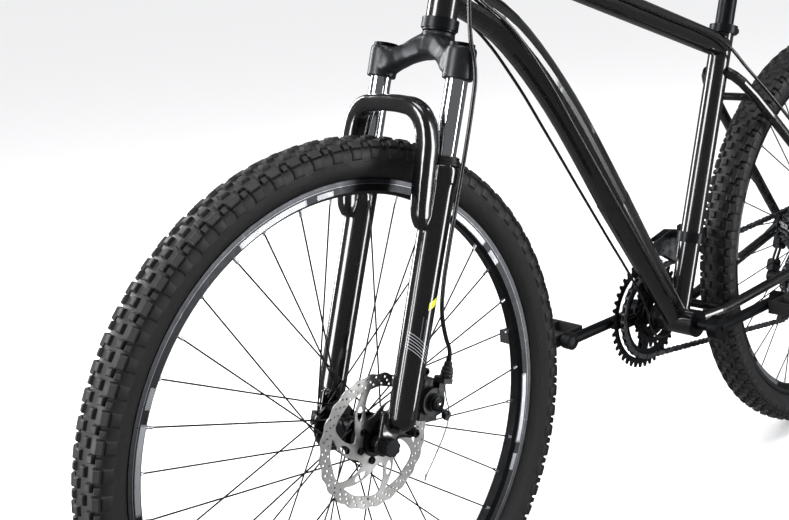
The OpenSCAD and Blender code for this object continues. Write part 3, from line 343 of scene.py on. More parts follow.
def tube_bridge(name, path, wide, deep):
    """A bridge with a rounded oblong section, wide by deep in mm, swept along a path."""
    section = bpy.data.curves.new(name + "_section", "CURVE")
    section.dimensions = "2D"
    ring = section.splines.new("POLY")
    corners = [(math.copysign(abs(math.cos(a)) ** 0.62, math.cos(a)) * wide / 2000,
        math.copysign(abs(math.sin(a)) ** 0.62, math.sin(a)) * deep / 2000)
        for a in [math.radians(15 * i) for i in range(24)]]
    ring.points.add(len(corners) - 1)
    for knot, (x, y) in zip(ring.points, corners):
        knot.co = (x, y, 0, 1)
    ring.use_cyclic_u = True
    section_object = bpy.data.objects.new(name + "_section", section)
    bpy.context.scene.collection.objects.link(section_object)
    line = bpy.data.curves.new(name, "CURVE")
    line.dimensions = "3D"
    line.resolution_u = 8
    line.twist_mode = "MINIMUM"
    line.bevel_mode = "OBJECT"
    line.bevel_object = section_object
    line.use_fill_caps = True
    spline = line.splines.new("BEZIER")
    spline.bezier_points.add(len(path) - 1)
    for knot, (x, y, z, size) in zip(spline.bezier_points, path):
        knot.co = (x / 1000, y / 1000, z / 1000)
        knot.radius = size
        knot.handle_left_type = "AUTO"
        knot.handle_right_type = "AUTO"
    bridge = bpy.data.objects.new(name, line)
    bpy.context.scene.collection.objects.link(bridge)
    bpy.ops.object.select_all(action="DESELECT")
    bridge.select_set(True)
    bpy.context.view_layer.objects.active = bridge
    bpy.ops.object.convert(target="MESH")
    bpy.data.objects.remove(section_object)
    return bpy.context.object


def boss(name, x, z, y0, y1, d):
    """A round boss across the fork, from y0 to y1, in mm."""
    bpy.ops.mesh.primitive_cylinder_add(vertices=48, radius=d / 2000, depth=abs(y1 - y0) / 1000,
        location=(x / 1000, (y0 + y1) / 2000, z / 1000), rotation=(math.pi / 2, 0, 0))
    bpy.context.object.name = name
    return bpy.context.object


def slab(name, low, high):
    """A block from its low corner to its high corner, in mm."""
    bpy.ops.mesh.primitive_cube_add(size=1, location=[(a + b) / 2000 for a, b in zip(low, high)])
    block = bpy.context.object
    block.name = name
    block.scale = [(b - a) / 1000 for a, b in zip(low, high)]
    return block


def cast(name, parts, voxel, rounds):
    """Joins parts into one skin, as a casting, and rounds the inside corners."""
    bpy.ops.object.select_all(action="DESELECT")
    for part in parts:
        part.select_set(True)
    bpy.context.view_layer.objects.active = parts[0]
    bpy.ops.object.transform_apply(location=True, rotation=True, scale=True)
    bpy.ops.object.join()
    piece = parts[0]
    piece.name = name
    skin = piece.modifiers.new("skin", "REMESH")
    skin.mode = "VOXEL"
    skin.voxel_size = voxel / 1000
    even = piece.modifiers.new("even", "SMOOTH")
    even.factor = 0.6
    even.iterations = rounds
    bpy.ops.object.modifier_apply(modifier="skin")
    bpy.ops.object.modifier_apply(modifier="even")
    bpy.ops.object.shade_smooth()
    return piece


lower_parts = []
for side in (1, -1):
    leg = turned(f"leg_{side}", [(0.02, 18.2), (6, 18.6), (11, 21), (14.6, 25.5), (16.4, 32),
        (16.9, 46), (17.3, 180), (17.9, 296), (18.2, 301), (19.3, 304), (19.4, 316), (18.7, 321.6),
        (13.4, 321.8), (13.2, 320), (13.2, 124), (0.02, 121)], 64)
    leg.location = (leg_x, leg_y * side, 0)
    lower_parts.append(leg)
    lower_parts.append(boss("dropout", 0, 0, 50.3 * side, 57.7 * side, 27))
    lower_parts.append(slab("web", (-25, 51 if side > 0 else -57.5, 9),
        (10, 57.5 if side > 0 else -51, 38)))
    lower_parts.append(slab("toe", (-19, 51 if side > 0 else -57.5, -3),
        (5, 57.5 if side > 0 else -51, 20)))
for z in brake_tab_heights:
    lower_parts.append(boss("brake_tab", -38, z, 49.3, 58, 15.6))
    lower_parts.append(slab("brake_web", (-38, 49.6, z - 7), (-14, 57.6, z + 7)))
lower_parts.append(tube_bridge("bridge", [
    (3, 64, 250, 0.72), (8, 64, 262, 0.92), (12, 64, 290, 1), (14.5, 64, 322, 1),
    (16.5, 63, 346, 1),
    (20, 56, 367, 0.98), (23.5, 43, 378.5, 0.92), (24.5, 24, 382, 0.86), (24.5, 0, 383, 0.84),
    (24.5, -24, 382, 0.86), (23.5, -43, 378.5, 0.92), (20, -56, 367, 0.98), (16.5, -63, 346, 1),
    (14.5, -64, 322, 1), (12, -64, 290, 1), (8, -64, 262, 0.92), (3, -64, 250, 0.72)], 23, 24))
lowers = cast("fork_lower_casting", lower_parts, 1.35, 7)

# The casting's enamel carries printed stripes low on the outside of each leg: a small pale
# green-yellow flash that rises to the rear, and below it six thin grey lines that fall to the rear
# and cross a set of upright ones.
lower_enamel = grained_finish("fork_enamel_with_stripes", "050506", "0A0A0C", 4, (0.18, 0.26),
    0.0012, {"Coat Weight": 1.0, "Coat Roughness": 0.025, "IOR": 1.5})


def printed_and_painted_light(material, *layers):
    """Lays flat colours over a finish: printed inks, and painted highlights. Each layer is a colour
    and its limits, and the colour shows where every value is within its half width of its centre.
    Returns the last layer's mask."""
    surface = material.node_tree.nodes["Principled BSDF"]
    colour = surface.inputs["Base Color"].links[0].from_socket
    for flat_colour, limits in layers:
        mask = 1.0
        for value, centre, half in limits:
            near = add_node(material, "ShaderNodeMath", {0: value, 1: centre, 2: half},
                operation="COMPARE").outputs[0]
            mask = add_node(material, "ShaderNodeMath", {0: near, 1: mask},
                operation="MULTIPLY").outputs[0]
        colour = add_node(material, "ShaderNodeMix", {"Factor": mask, 6: colour, 7: linear(flat_colour)},
            data_type="RGBA").outputs[2]
    material.node_tree.links.new(colour, surface.inputs["Base Color"])
    return mask


def fork_place(material):
    """Forward, sideways and upward distances in mm in the fork's own frame."""
    place = add_node(material, "ShaderNodeTexCoord", {}).outputs["Object"]
    upright = add_node(material, "ShaderNodeMapping", {"Vector": place,
        "Location": front_axle, "Rotation": (0, math.radians(-18.5), 0),
        "Scale": (0.001, 0.001, 0.001)}, vector_type="TEXTURE")
    return add_node(material, "ShaderNodeSeparateXYZ", {"Vector": upright.outputs[0]}).outputs


forward, sideways, height = fork_place(lower_enamel)
out = add_node(lower_enamel, "ShaderNodeMath", {0: sideways}, operation="ABSOLUTE").outputs[0]
rising = add_node(lower_enamel, "ShaderNodeMath", {0: forward, 1: 0.63, 2: height},
    operation="MULTIPLY_ADD").outputs[0]
falling = add_node(lower_enamel, "ShaderNodeMath", {0: forward, 1: -0.7, 2: height},
    operation="MULTIPLY_ADD").outputs[0]
stripes = add_node(lower_enamel, "ShaderNodeMath", {0: falling, 1: 3.4},
    operation="MODULO").outputs[0]
behind = add_node(lower_enamel, "ShaderNodeMath", {0: forward, 1: 100}, operation="ADD").outputs[0]
pins = add_node(lower_enamel, "ShaderNodeMath", {0: behind, 1: 4.1}, operation="MODULO").outputs[0]
printed_and_painted_light(lower_enamel,
    ("DDE63A", ((out, 90, 22), (rising, 157.5, 4.5), (forward, -24, 14.5))),
    ("8C8E92", ((out, 90, 24), (stripes, 0.45, 0.5), (falling, 120.5, 10), (forward, -8, 12))),
    ("505256", ((out, 90, 22), (pins, 0.4, 0.4), (falling, 143, 12.5), (forward, -17, 13))))
settle(lowers, in_fork, lower_enamel, "lowers")
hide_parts("fork_lowers")

# Dust seals: lipped rubber rings pressed into the top of each leg, ribbed like a bellows
seal_rubber = grained_finish("moulded_nitrile_rubber", "0E0E0F", "18181A", 0.8, (0.4, 0.55), 0.02)
for side, label in ((1, "left"), (-1, "right")):
    seal = turned(f"dust_seal_{label}", [(13, 322.2), (18.6, 322.2), (18.8, 323), (18.8, 324.6),
        (17.6, 325.2), (17.6, 326.2), (18.3, 326.8), (18.3, 328.2), (17, 328.8), (17, 329.6),
        (17.5, 330.2), (17.3, 331.4), (15, 332.6), (13, 332.8), (13, 322.2)], 64)
    seal.data.transform(Matrix.Translation((leg_x, leg_y * side, 0)))
    settle(seal, in_fork, seal_rubber, "lowers")
    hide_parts("dust_seals")

# ---- Crown, stanchions and springs ----
# The crown is a forged and shot-blasted alloy with a satin black finish: an arch that sweeps from
# the race seat down to a clamp at each side, pressed on a steel steerer.
# The stanchions are chrome-plated steel, ground and polished round, and their caps are black.
crown_satin = grained_finish("shot_blasted_black_alloy", "1C1D1F", "2A2B2E", 0.6, (0.3, 0.4), 0.015,
    {"Metallic": 0.55})
chrome = grained_finish("polished_chrome_plate", "D4D6DA", "E2E4E7", 1.5, (0.04, 0.07), 0.001,
    {"Metallic": 1.0})
_, _, height = fork_place(chrome)
surface = chrome.node_tree.nodes["Principled BSDF"]
cap_mask = printed_and_painted_light(chrome, ("141517", ((height, 463.2, 10),)))
capped = add_node(chrome, "ShaderNodeMapRange", {"Value": cap_mask, "To Min": 0.05, "To Max": 0.35})
chrome.node_tree.links.new(capped.outputs[0], surface.inputs["Roughness"])
crown_parts = []
for side in (1, -1):
    clamp = turned(f"clamp_{side}", [(12.75, 417.5), (16.9, 417.5), (17.5, 418.4), (17.5, 450),
        (17, 452.6), (15.6, 454.4), (12.75, 454.6), (12.75, 417.5)], 48)
    clamp.location = (leg_x, leg_y * side, 0)
    crown_parts.append(clamp)
arch = [(-13, 60, 436, 1.22), (-14, 52, 438.5, 1.16), (-17, 43, 442, 0.98), (-21, 32, 447.5, 0.9),
    (-25, 20, 454, 1.02), (-28, 8, 458, 1.14)]
crown_parts.append(tube_bridge("crown_arch", arch + [(a, -y, s, size)
    for a, y, s, size in reversed(arch)], 27, 27))
crown_parts.append(turned("race_seat", [(11.5, 449), (20, 449), (22, 452), (22, 466), (19.6, 470.4),
    (19.5, 476), (11.5, 476), (11.5, 449)], 48))
crown_parts[-1].location = (steerer_x, 0, 0)
crown = cast("fork_crown_forging", crown_parts, 1.2, 7)
settle(crown, in_fork, crown_satin, "steering")
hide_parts("fork_crown")
steerer = turned("steerer_tube", [(11.5, 470), (14.3, 470), (14.3, 677.6), (13.9, 678), (11.9, 678),
    (11.5, 677.6), (11.5, 470)], 48)
steerer.data.transform(Matrix.Translation((steerer_x, 0, 0)))
settle(steerer, in_fork, black_steel, "steering")
give(chrome, "stanchions")
give(bright_steel, "fork_springs")

# ---- Tyres ----
# Carcass and tread are vulcanised in one mould: plain sidewalls with fine raised rings,
# and rows of blocks in pairs, ramped in the middle and square at the shoulders. A low pad runs
# down the sidewall below each long shoulder block.


def axle_radius(material, centre):
    """Distance from a wheel's axle in mm."""
    place = add_node(material, "ShaderNodeTexCoord", {}).outputs["Object"]
    local = add_node(material, "ShaderNodeVectorMath", {0: place, 1: centre}, operation="SUBTRACT")
    flat = add_node(material, "ShaderNodeVectorMath", {0: local.outputs[0], 1: (1000, 0, 1000)},
        operation="MULTIPLY")
    return add_node(material, "ShaderNodeVectorMath", {0: flat.outputs[0]},
        operation="LENGTH").outputs["Value"], flat.outputs[0]


def block_of_tread(length, width, tall):
    """A tread block with drafted sides and softened edges, its foot at the origin."""
    bpy.ops.mesh.primitive_cube_add(size=0.001)
    block = bpy.context.object
    start_edit(block)
    bpy.ops.transform.resize(value=(length, width, tall))
    bpy.ops.transform.translate(value=(0, 0, tall / 2000))
    end_edit()
    # Only the top's corners stay chosen: they are drawn in, and its edges are then bevelled
    for face in block.data.polygons:
        face.select = face.normal.z > 0.9
    bpy.context.tool_settings.mesh_select_mode = (False, False, True)
    for edge in block.data.edges:
        edge.select = False
    for vertex in block.data.vertices:
        vertex.select = vertex.co.z > tall / 2000
    bpy.context.tool_settings.mesh_select_mode = (True, False, False)
    bpy.ops.object.mode_set(mode="EDIT")
    bpy.ops.transform.resize(value=(0.8, 0.8, 1))
    bpy.ops.mesh.bevel(offset=0.0007, segments=1, affect="EDGES")
    end_edit()
    return block


tyre_half = [(292.4, 9.3), (298.4, 9.8), (300.4, 14), (306, 20.8), (313, 24.4), (320, 26),
    (327, 25.6), (333, 23.2), (337.4, 18.6), (340, 12.4), (341, 5.6), (341.2, 0)]
tyre_inner = [(338, 0), (337.4, 6), (334.5, 14), (329, 20.6), (320, 22.8), (311, 20), (304, 12.6),
    (300, 7), (292.4, 5.8)]
# Rows of blocks: length, width and height, distance from the middle, radius of the foot, lean in
# degrees, and shift along the tread as a share of the pitch
rows = [(11, 9, 4.1, 5.6, 341.0, 3, 0.0), (9.5, 7.4, 4.2, 14.2, 339.3, 20, 0.5),
    (16, 9.4, 4.6, 20.5, 335.6, 46, 0.06), (7.5, 7, 4.2, 21.2, 335, 48, 0.56),
    (15, 12.5, 2.0, 24.9, 327, 80, 0.06)]
pitches = 76
for end, centre, body, place in (("front", front_axle, "front_wheel", in_fork),
        ("rear", rear_axle, "rear_wheel", in_rear)):
    rubber = grained_finish(f"{end}_tyre_rubber", "101011", "1D1D1F", 1.6, (0.5, 0.72), 0.05)
    radius, _ = axle_radius(rubber, centre)
    waves = add_node(rubber, "ShaderNodeMath", {0: radius, 1: 3.9}, operation="MULTIPLY").outputs[0]
    waves = add_node(rubber, "ShaderNodeMath", {0: waves}, operation="SINE").outputs[0]
    wall = add_node(rubber, "ShaderNodeMath", {0: radius, 1: 311, 2: 9}, operation="COMPARE")
    rings = add_node(rubber, "ShaderNodeMath", {0: waves, 1: wall.outputs[0]},
        operation="MULTIPLY").outputs[0]
    surface = rubber.node_tree.nodes["Principled BSDF"]
    raised = add_node(rubber, "ShaderNodeBump", {"Height": rings, "Strength": 0.5,
        "Distance": 0.0003, "Normal": surface.inputs["Normal"].links[0].from_socket})
    rubber.node_tree.links.new(raised.outputs[0], surface.inputs["Normal"])
    carcass = turned(f"{end}_tyre_carcass",
        [(r, -y) for r, y in tyre_half] + [(r, y) for r, y in reversed(tyre_half[:-1])]
        + [(r, y) for r, y in reversed(tyre_inner)][0:-1] + [(r, -y) for r, y in tyre_inner]
        + [(292.4, -9.3)], 180, "Y")
    settle(carcass, place, rubber, body)
    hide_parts(f"{end}_tyre")
    blocks = []
    for number, (length, width, tall, y, foot, lean, phase) in enumerate(rows):
        places = []
        for side in (1, -1):
            tip = Matrix.Translation((0, side * y / 1000, foot / 1000)) @ Matrix.Rotation(
                math.radians(-lean * side), 4, "X")
            for i in range(pitches):
                turn = 2 * math.pi * (i + phase + (0.5 if side < 0 else 0)) / pitches
                places.append(Matrix.Rotation(turn, 4, "Y") @ tip)
        blocks.append(repeated(block_of_tread(length, width, tall), places,
            f"{end}_tread_row_{number}"))
    for tread in blocks:
        settle(tread, place, rubber, body)

# ---- Rims and spokes ----
# Rolled box-section alloy rims, anodised black, with hatched flashes on each wall, and a thin pale
# ring along each wall's edge that is a painted highlight.
# Thirty-six black stainless spokes cross three times and end in nickel-plated nipples.
for end, centre, body in (("front", front_axle, "front_wheel"), ("rear", rear_axle, "rear_wheel")):
    rim = grained_finish(f"{end}_rim_black_anodised", "18191B", "222326", 0.6, (0.26, 0.36), 0.006,
        {"Metallic": 0.8})
    radius, flat = axle_radius(rim, centre)
    parts = add_node(rim, "ShaderNodeSeparateXYZ", {"Vector": flat}).outputs
    angle = add_node(rim, "ShaderNodeMath", {0: parts[2], 1: parts[0]}, operation="ARCTAN2")
    sweep = teeth = angle.outputs[0]
    for operation, number in (("MULTIPLY", 2.5465), ("ADD", 40), ("MODULO", 2.667)):
        sweep = add_node(rim, "ShaderNodeMath", {0: sweep, 1: number},
            operation=operation).outputs[0]
    lean = add_node(rim, "ShaderNodeMath", {0: radius, 1: 0.3}, operation="MULTIPLY").outputs[0]
    for operation, number in (("MULTIPLY", 96), ("ADD", lean), ("ADD", 400), ("MODULO", 1)):
        teeth = add_node(rim, "ShaderNodeMath", {0: teeth, 1: number},
            operation=operation).outputs[0]
    # The 0.8 mm pale ring at 292.4 mm radius is a painted highlight along the rim's edge.
    printed_and_painted_light(rim, ("36373A", ((radius, 295.6, 2.0),)), ("6E7074", ((radius, 292.4, 0.4),)),
        ("6E7074", ((sweep, 0.55, 0.42), (radius, 286.6, 3.6))),
        ("B4B6BA", ((sweep, 0.55, 0.4), (radius, 286.6, 3.2), (teeth, 0.3, 0.25))),
        ("9A9CA0", ((sweep, 1.2, 0.1), (radius, 286.6, 3.2), (teeth, 0.3, 0.3))))
    give(rim, f"{end}_rim")
    spoke = grained_finish(f"{end}_spoke_black_stainless", "1A1B1D", "2A2B2D", 0.5, (0.22, 0.34),
        0.004, {"Metallic": 0.8})
    radius, _ = axle_radius(spoke, centre)
    printed_and_painted_light(spoke, ("B9BBC0", ((radius, 292.3, 20),)))
    give(spoke, f"{end}_spokes")
tube_rubber = grained_finish("butyl_tube_rubber", "151516", "1E1E20", 1.0, (0.5, 0.6), 0.02)
give(tube_rubber, "front_inner_tube", "rear_inner_tube")
hub_black = grained_finish("hub_black_anodised", "141517", "1F2023", 0.5, (0.24, 0.34), 0.006,
    {"Metallic": 0.75})
give(hub_black, "front_hub", "rear_hub")
give(black_steel, "front_axle", "rear_axle", "front_qr_lever", "rear_qr_lever")

# ---- Brake rotors ----
# Stamped and ground stainless discs, 160 mm across: a waved rim, three staggered rows of holes,
# and six thick swept arms with an oval window each. Six black bolts hold each disc to its hub.


def wave_ring(radius, depth, waves, points):
    return [((radius + depth * math.cos(waves * a)) * math.cos(a),
        (radius + depth * math.cos(waves * a)) * math.sin(a))
        for a in [2 * math.pi * i / points for i in range(points)]]


def round_hole(x, y, d, points=12, stretch=1.0, turn=0.0):
    hole = []
    for i in range(points):
        a = 2 * math.pi * i / points
        u, v = d / 2 * stretch * math.cos(a), d / 2 * math.sin(a)
        hole.append((x + u * math.cos(turn) - v * math.sin(turn),
            y + u * math.sin(turn) + v * math.cos(turn)))
    return hole


def polar(r, degrees):
    return r * math.cos(math.radians(degrees)), r * math.sin(math.radians(degrees))


def rotor_outlines():
    outlines = [wave_ring(79.0, 1.0, 24, 288), round_hole(0, 0, 35.4, 48)]

    def arm_angle(i, r):
        return 60 * i - 30 + 42 * (r - 25) / 42

    def half_width(r):
        return math.degrees((10.6 - 0.175 * (r - 30)) / r)

    for i in range(6):
        window = []
        start = arm_angle(i, 64.4) + half_width(64.4) + 2
        stop = arm_angle(i + 1, 64.4) - half_width(64.4) - 2
        window += [polar(64.6 + 0.5 * math.sin(k * math.pi / 2), start + (stop - start) * k / 8)
            for k in range(9)]
        window += [polar(r, arm_angle(i + 1, r) - half_width(r)) for r in range(62, 30, -3)]
        low_stop = arm_angle(i + 1, 30) - half_width(30)
        low_start = arm_angle(i, 30) + half_width(30)
        window += [polar(29.6, low_stop + (low_start - low_stop) * k / 6) for k in range(1, 6)]
        window += [polar(r, arm_angle(i, r) + half_width(r)) for r in range(32, 63, 3)]
        outlines.append(window)
        lean = math.radians(arm_angle(i, 43) + 37)
        outlines.append(round_hole(*polar(43, arm_angle(i, 43)), 8.4, 24, 2.1, lean))
        outlines.append(round_hole(*polar(22, 60 * i + 30), 5.2))
    for i in range(108):
        outlines.append(round_hole(*polar(75.3 - 3.9 * (i % 3), 10 * i / 3), 3.3, 10))
    return outlines


bolt_steel = grained_finish("black_oxide_bolt_steel", "101112", "1A1B1C", 0.5, (0.3, 0.42), 0.006,
    {"Metallic": 0.8})
for end, centre, body, place, y in (("front", front_axle, "front_wheel", in_fork, 38),
        ("rear", rear_axle, "rear_wheel", in_rear, 51)):
    stainless = grained_finish(f"{end}_rotor_ground_stainless", "A3A3A2", "BDBDBB", 0.8,
        (0.3, 0.44), 0.003, {"Metallic": 1.0})
    radius, _ = axle_radius(stainless, centre)
    surface = stainless.node_tree.nodes["Principled BSDF"]
    # Grinding leaves fine rings; real ones are 0.05 mm apart and these are 0.6 mm, so they show
    waves = add_node(stainless, "ShaderNodeMath", {0: radius, 1: 10.5}, operation="MULTIPLY")
    rings = add_node(stainless, "ShaderNodeMath", {0: waves.outputs[0]},
        operation="SINE").outputs[0]
    ground = add_node(stainless, "ShaderNodeBump", {"Height": rings, "Strength": 0.25,
        "Distance": 0.00008, "Normal": surface.inputs["Normal"].links[0].from_socket})
    stainless.node_tree.links.new(ground.outputs[0], surface.inputs["Normal"])
    plate = bpy.data.curves.new(f"{end}_rotor_plate", "CURVE")
    plate.dimensions = "2D"
    plate.fill_mode = "BOTH"
    plate.extrude = 0.00075
    plate.bevel_depth = 0.00015
    plate.bevel_resolution = 0
    for outline in rotor_outlines():
        ring = plate.splines.new("POLY")
        ring.points.add(len(outline) - 1)
        for knot, (px, py) in zip(ring.points, outline):
            knot.co = (px / 1000, py / 1000, 0, 1)
        ring.use_cyclic_u = True
    disc = bpy.data.objects.new(f"{end}_rotor_plate", plate)
    bpy.context.scene.collection.objects.link(disc)
    bpy.ops.object.select_all(action="DESELECT")
    disc.select_set(True)
    bpy.context.view_layer.objects.active = disc
    bpy.ops.object.convert(target="MESH")
    disc = bpy.context.object
    start_edit(disc)
    bpy.ops.mesh.remove_doubles(threshold=0.00001)
    bpy.ops.mesh.normals_make_consistent(inside=False)
    end_edit()
    bpy.ops.object.shade_smooth_by_angle(angle=math.radians(30))
    stand = Matrix.Translation((0, y / 1000, 0)) @ Matrix.Rotation(math.pi / 2, 4, "X")
    settle(disc, place @ stand, stainless, body)
    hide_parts(f"{end}_rotor")
    bolt = turned("rotor_bolt", [(0.02, 1.6), (1.9, 1.6), (2.1, 2.5), (3.7, 2.5), (4.4, 1.8),
        (4.5, 0.1), (2.4, 0), (2.4, -8), (0.02, -8)], 18)
    seats = [Matrix.Rotation(-math.radians(60 * i + 30), 4, "Y")
        @ Matrix.Translation((0.022, (y + 0.9) / 1000, 0))
        @ Matrix.Rotation(-math.pi / 2, 4, "X") for i in range(6)]
    settle(repeated(bolt, seats, f"{end}_rotor_bolts"), place, bolt_steel, body)

# ---- Calipers ----
# Black painted cast calipers, worked by a cable that pulls an arm on the outboard side.
# A ribbed rubber boot covers the wire, and a black wheel with a bright screw adjusts the pads.
caliper_paint = grained_finish("caliper_black_paint", "0F1011", "1A1B1D", 0.7, (0.3, 0.42), 0.03)
arm_steel = grained_finish("zinc_plated_arm_steel", "2A2B2E", "3A3B3E", 0.7, (0.28, 0.4), 0.01,
    {"Metallic": 0.85})
give(caliper_paint, "front_caliper", "rear_caliper")
give(arm_steel, "front_caliper_arm", "rear_caliper_arm")
wire_steel = grained_finish("stranded_stainless_wire", "8F9196", "D0D2D6", 0.5, (0.2, 0.4), 0.05,
    {"Metallic": 1.0})
give(wire_steel, "front_brake_wire")
in_rear_caliper = (in_rear @ Matrix.Translation((0, 0.013, 0))
    @ Matrix.Rotation(math.radians(55), 4, "Y"))
for end, place, body, arm in (("front", in_fork, "lowers", "front_arm"),
        ("rear", in_rear_caliper, "frame", "rear_arm")):
    boot = turned(f"{end}_cable_boot", [(1.3, 82.2), (6.6, 82.2), (7.6, 83.6), (7.7, 86), (7, 87.2),
        (7.5, 88.4), (7.3, 90.4), (6.5, 91.4), (6.8, 92.6), (6.3, 95), (5.2, 96), (5.3, 97.4),
        (4.6, 101), (3.4, 102), (1.3, 102), (1.3, 82.2)], 32)
    boot.data.transform(Matrix.Translation((-0.062, 0.0742, 0)))
    settle(boot, place, seal_rubber, body)
    stand = Matrix.Translation((-0.056, 0.0734, 0.052)) @ Matrix.Rotation(-math.pi / 2, 4, "X")
    wheel = turned(f"{end}_pad_wheel", [(0.02, 0), (9, 0), (9.4, 0.3), (9.4, 1.8), (8.8, 2.2),
        (5.2, 2.3), (5.0, 3.4), (2.8, 3.5), (2.6, 2.6), (0.02, 2.6)], 40)
    settle(wheel, place @ stand, bolt_steel, arm)
    screw = turned(f"{end}_pad_screw", [(0.02, 4.4), (1.5, 4.3), (2.3, 3.6), (2.4, 2.7),
        (0.02, 2.7)], 24)
    settle(screw, place @ stand, bright_steel, arm)
    for z in brake_tab_heights:
        head = turned(f"{end}_caliper_bolt_{z}", [(0.02, 1.8), (2.6, 1.8), (2.8, 4.1), (4.3, 4.1),
            (4.9, 3.5), (4.9, 0.1), (0.02, 0.1)], 24)
        stand = Matrix.Translation((-0.038, 0.0621, z / 1000)) @ Matrix.Rotation(
            -math.pi / 2, 4, "X")
        settle(head, place @ stand, bolt_steel, body)

rear_wire = run_cable("rear_brake_wire", [(-62, 74.2, 96), (-62, 74.2, 82), (-62.8, 74.2, 72),
    (-68, 74.2, 58), (-78, 74.2, 38), (-72, 74.2, 8), (-54, 75.2, -34)], bare_wire, in_rear_caliper,
    wire_steel, "frame", ends=False)
for cable in (rear_brake, left_shift, right_shift, rear_wire):
    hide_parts("frame_cables")

# ---- Grips, levers and pods ----
# Grips are moulded rubber with close rings for the palm and a flange inboard.
# Lever blades are satin forged alloy, and the shifter pods are nylon.
grip_rubber = grained_finish("moulded_grip_rubber", "121213", "1C1C1E", 0.9, (0.5, 0.68), 0.05)
grip_rings = []
for i in range(29):
    y = 106.5 + 4.1 * i
    grip_rings += [(15, y), (15.1, y + 1.0), (15.9, y + 1.5), (15.9, y + 3.3), (15.1, y + 3.8)]
for side, label in ((1, "left"), (-1, "right")):
    grip = turned(f"grip_{label}", [(11.3, 101.5), (19.4, 101.5), (19.9, 102.2), (19.9, 104.4),
        (19.2, 105.2), (15.6, 105.8)] + grip_rings + [(15.2, 226.4), (15.9, 227.2), (15.9, 229.4),
        (14.8, 230.3), (0.02, 230.4)], 40, "Y")
    on_bar = Matrix.Translation((0.0485, 0.115, 0.680)) @ Matrix.Rotation(math.radians(6.3), 4, "Z")
    mirror = Matrix.Diagonal((1, side, 1, 1))
    settle(grip, in_fork @ mirror @ on_bar, grip_rubber, "steering")
    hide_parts("grips")
give(anodised, "brake_lever_left", "brake_lever_right")
give(moulded, "control_pods", "shift_lever_left", "shift_lever_right")

# ---- Saddle ----
# A moulded shell under foam, covered in black stitched vinyl that is pulled tight to its edge.
# The middle is relieved by a shallow channel, and two seams run from the nose to the wings.
vinyl = grained_finish("embossed_black_vinyl", "131314", "1F1F21", 1.1, (0.38, 0.52), 0.06,
    {"Sheen Weight": 0.15})
low, high = (Vector(corner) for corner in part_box("saddle"))
seat_middle = (low + high) / 2
bpy.ops.mesh.primitive_cube_add(size=2)
saddle = bpy.context.object
saddle.name = "saddle_cover"
start_edit(saddle)
bpy.ops.mesh.subdivide(number_cuts=15)
end_edit()


def saddle_half_width(x):
    """Half of the saddle's width in mm at x mm ahead of its middle."""
    stations = [(-145, 40), (-132, 62), (-110, 72), (-80, 69), (-45, 50), (-10, 33), (40, 24),
        (90, 20), (125, 17), (143, 10)]
    for (x0, w0), (x1, w1) in zip(stations, stations[1:]):
        if x <= x1:
            t = max(0, (x - x0) / (x1 - x0))
            t = t * t * (3 - 2 * t)
            return w0 + (w1 - w0) * t
    return stations[-1][1]


for vertex in saddle.data.vertices:
    u, v, w = vertex.co
    x = 143 * math.copysign(abs(u) ** 0.8, u)
    edge = math.sqrt(max(0, 1 - abs(u) ** 6))
    y = saddle_half_width(x) * v * (0.35 + 0.65 * edge) * (1 - 0.08 * abs(w))
    crown = 17 * (1 - abs(v) ** 3.2) + 3 * (x < 0) * min(1, -x / 90) * abs(v) - 6
    crown -= 0.00042 * max(0, x) ** 1.9 * 0.35
    channel = 3.2 * math.exp(-(y / 8) ** 2) * max(0, 1 - (x / 120) ** 4)
    top = (crown - channel) * edge
    bottom = -19 * edge * (1 - 0.35 * (1 - abs(v)))
    z = top * (w + 1) / 2 + bottom * (1 - w) / 2
    vertex.co = (seat_middle.x + x / 1000, seat_middle.y + y / 1000,
        seat_middle.z + (z + 1.5) / 1000)
rounding = saddle.modifiers.new("rounding", "SUBSURF")
rounding.levels = 2
rounding.render_levels = 2
bpy.ops.object.select_all(action="DESELECT")
saddle.select_set(True)
bpy.context.view_layer.objects.active = saddle
bpy.ops.object.modifier_apply(modifier="rounding")
bpy.ops.object.shade_smooth()
settle(saddle, Matrix.Identity(4), vinyl, "seat")
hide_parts("saddle")
place = add_node(vinyl, "ShaderNodeTexCoord", {}).outputs["Object"]
split = add_node(vinyl, "ShaderNodeSeparateXYZ", {"Vector": place}).outputs
across = add_node(vinyl, "ShaderNodeMath", {0: split[1]}, operation="ABSOLUTE").outputs[0]
along = add_node(vinyl, "ShaderNodeMath", {0: split[0], 1: 280}, operation="MULTIPLY").outputs[0]
stitch = add_node(vinyl, "ShaderNodeMath", {0: along}, operation="FRACT").outputs[0]
printed_and_painted_light(vinyl, ("4A4A4D", ((across, 0.0135, 0.0005), (stitch, 0.65, 0.35))))

# ---- Drivetrain ----
# A steel chain of alternate inner and outer links on rollers, over black alloy rings and
# plated cogs. Cranks are forged and satin black, and the pedals are nylon platforms.
cog_steel = grained_finish("nickel_plated_cog_steel", "8A8C90", "ABADB1", 0.8, (0.24, 0.36), 0.01,
    {"Metallic": 1.0})
chain_steel = grained_finish("oiled_chain_steel", "4E4F52", "77797D", 0.8, (0.26, 0.42), 0.012,
    {"Metallic": 0.95})
give(cog_steel, "freewheel", "derailleur_cage_front", "derailleur_cage")
give(anodised, "chainrings", "crank_right", "crank_left")
give(moulded, "pedal_right", "pedal_left", "guide_pulley", "tension_pulley")
give(black_steel, "front_derailleur", "rear_derailleur", "derailleur_link", "derailleur_knuckle")
pitch_radius = 12.7 / (2 * math.pi)
crank_axle = middle("bottom_bracket") * 1000
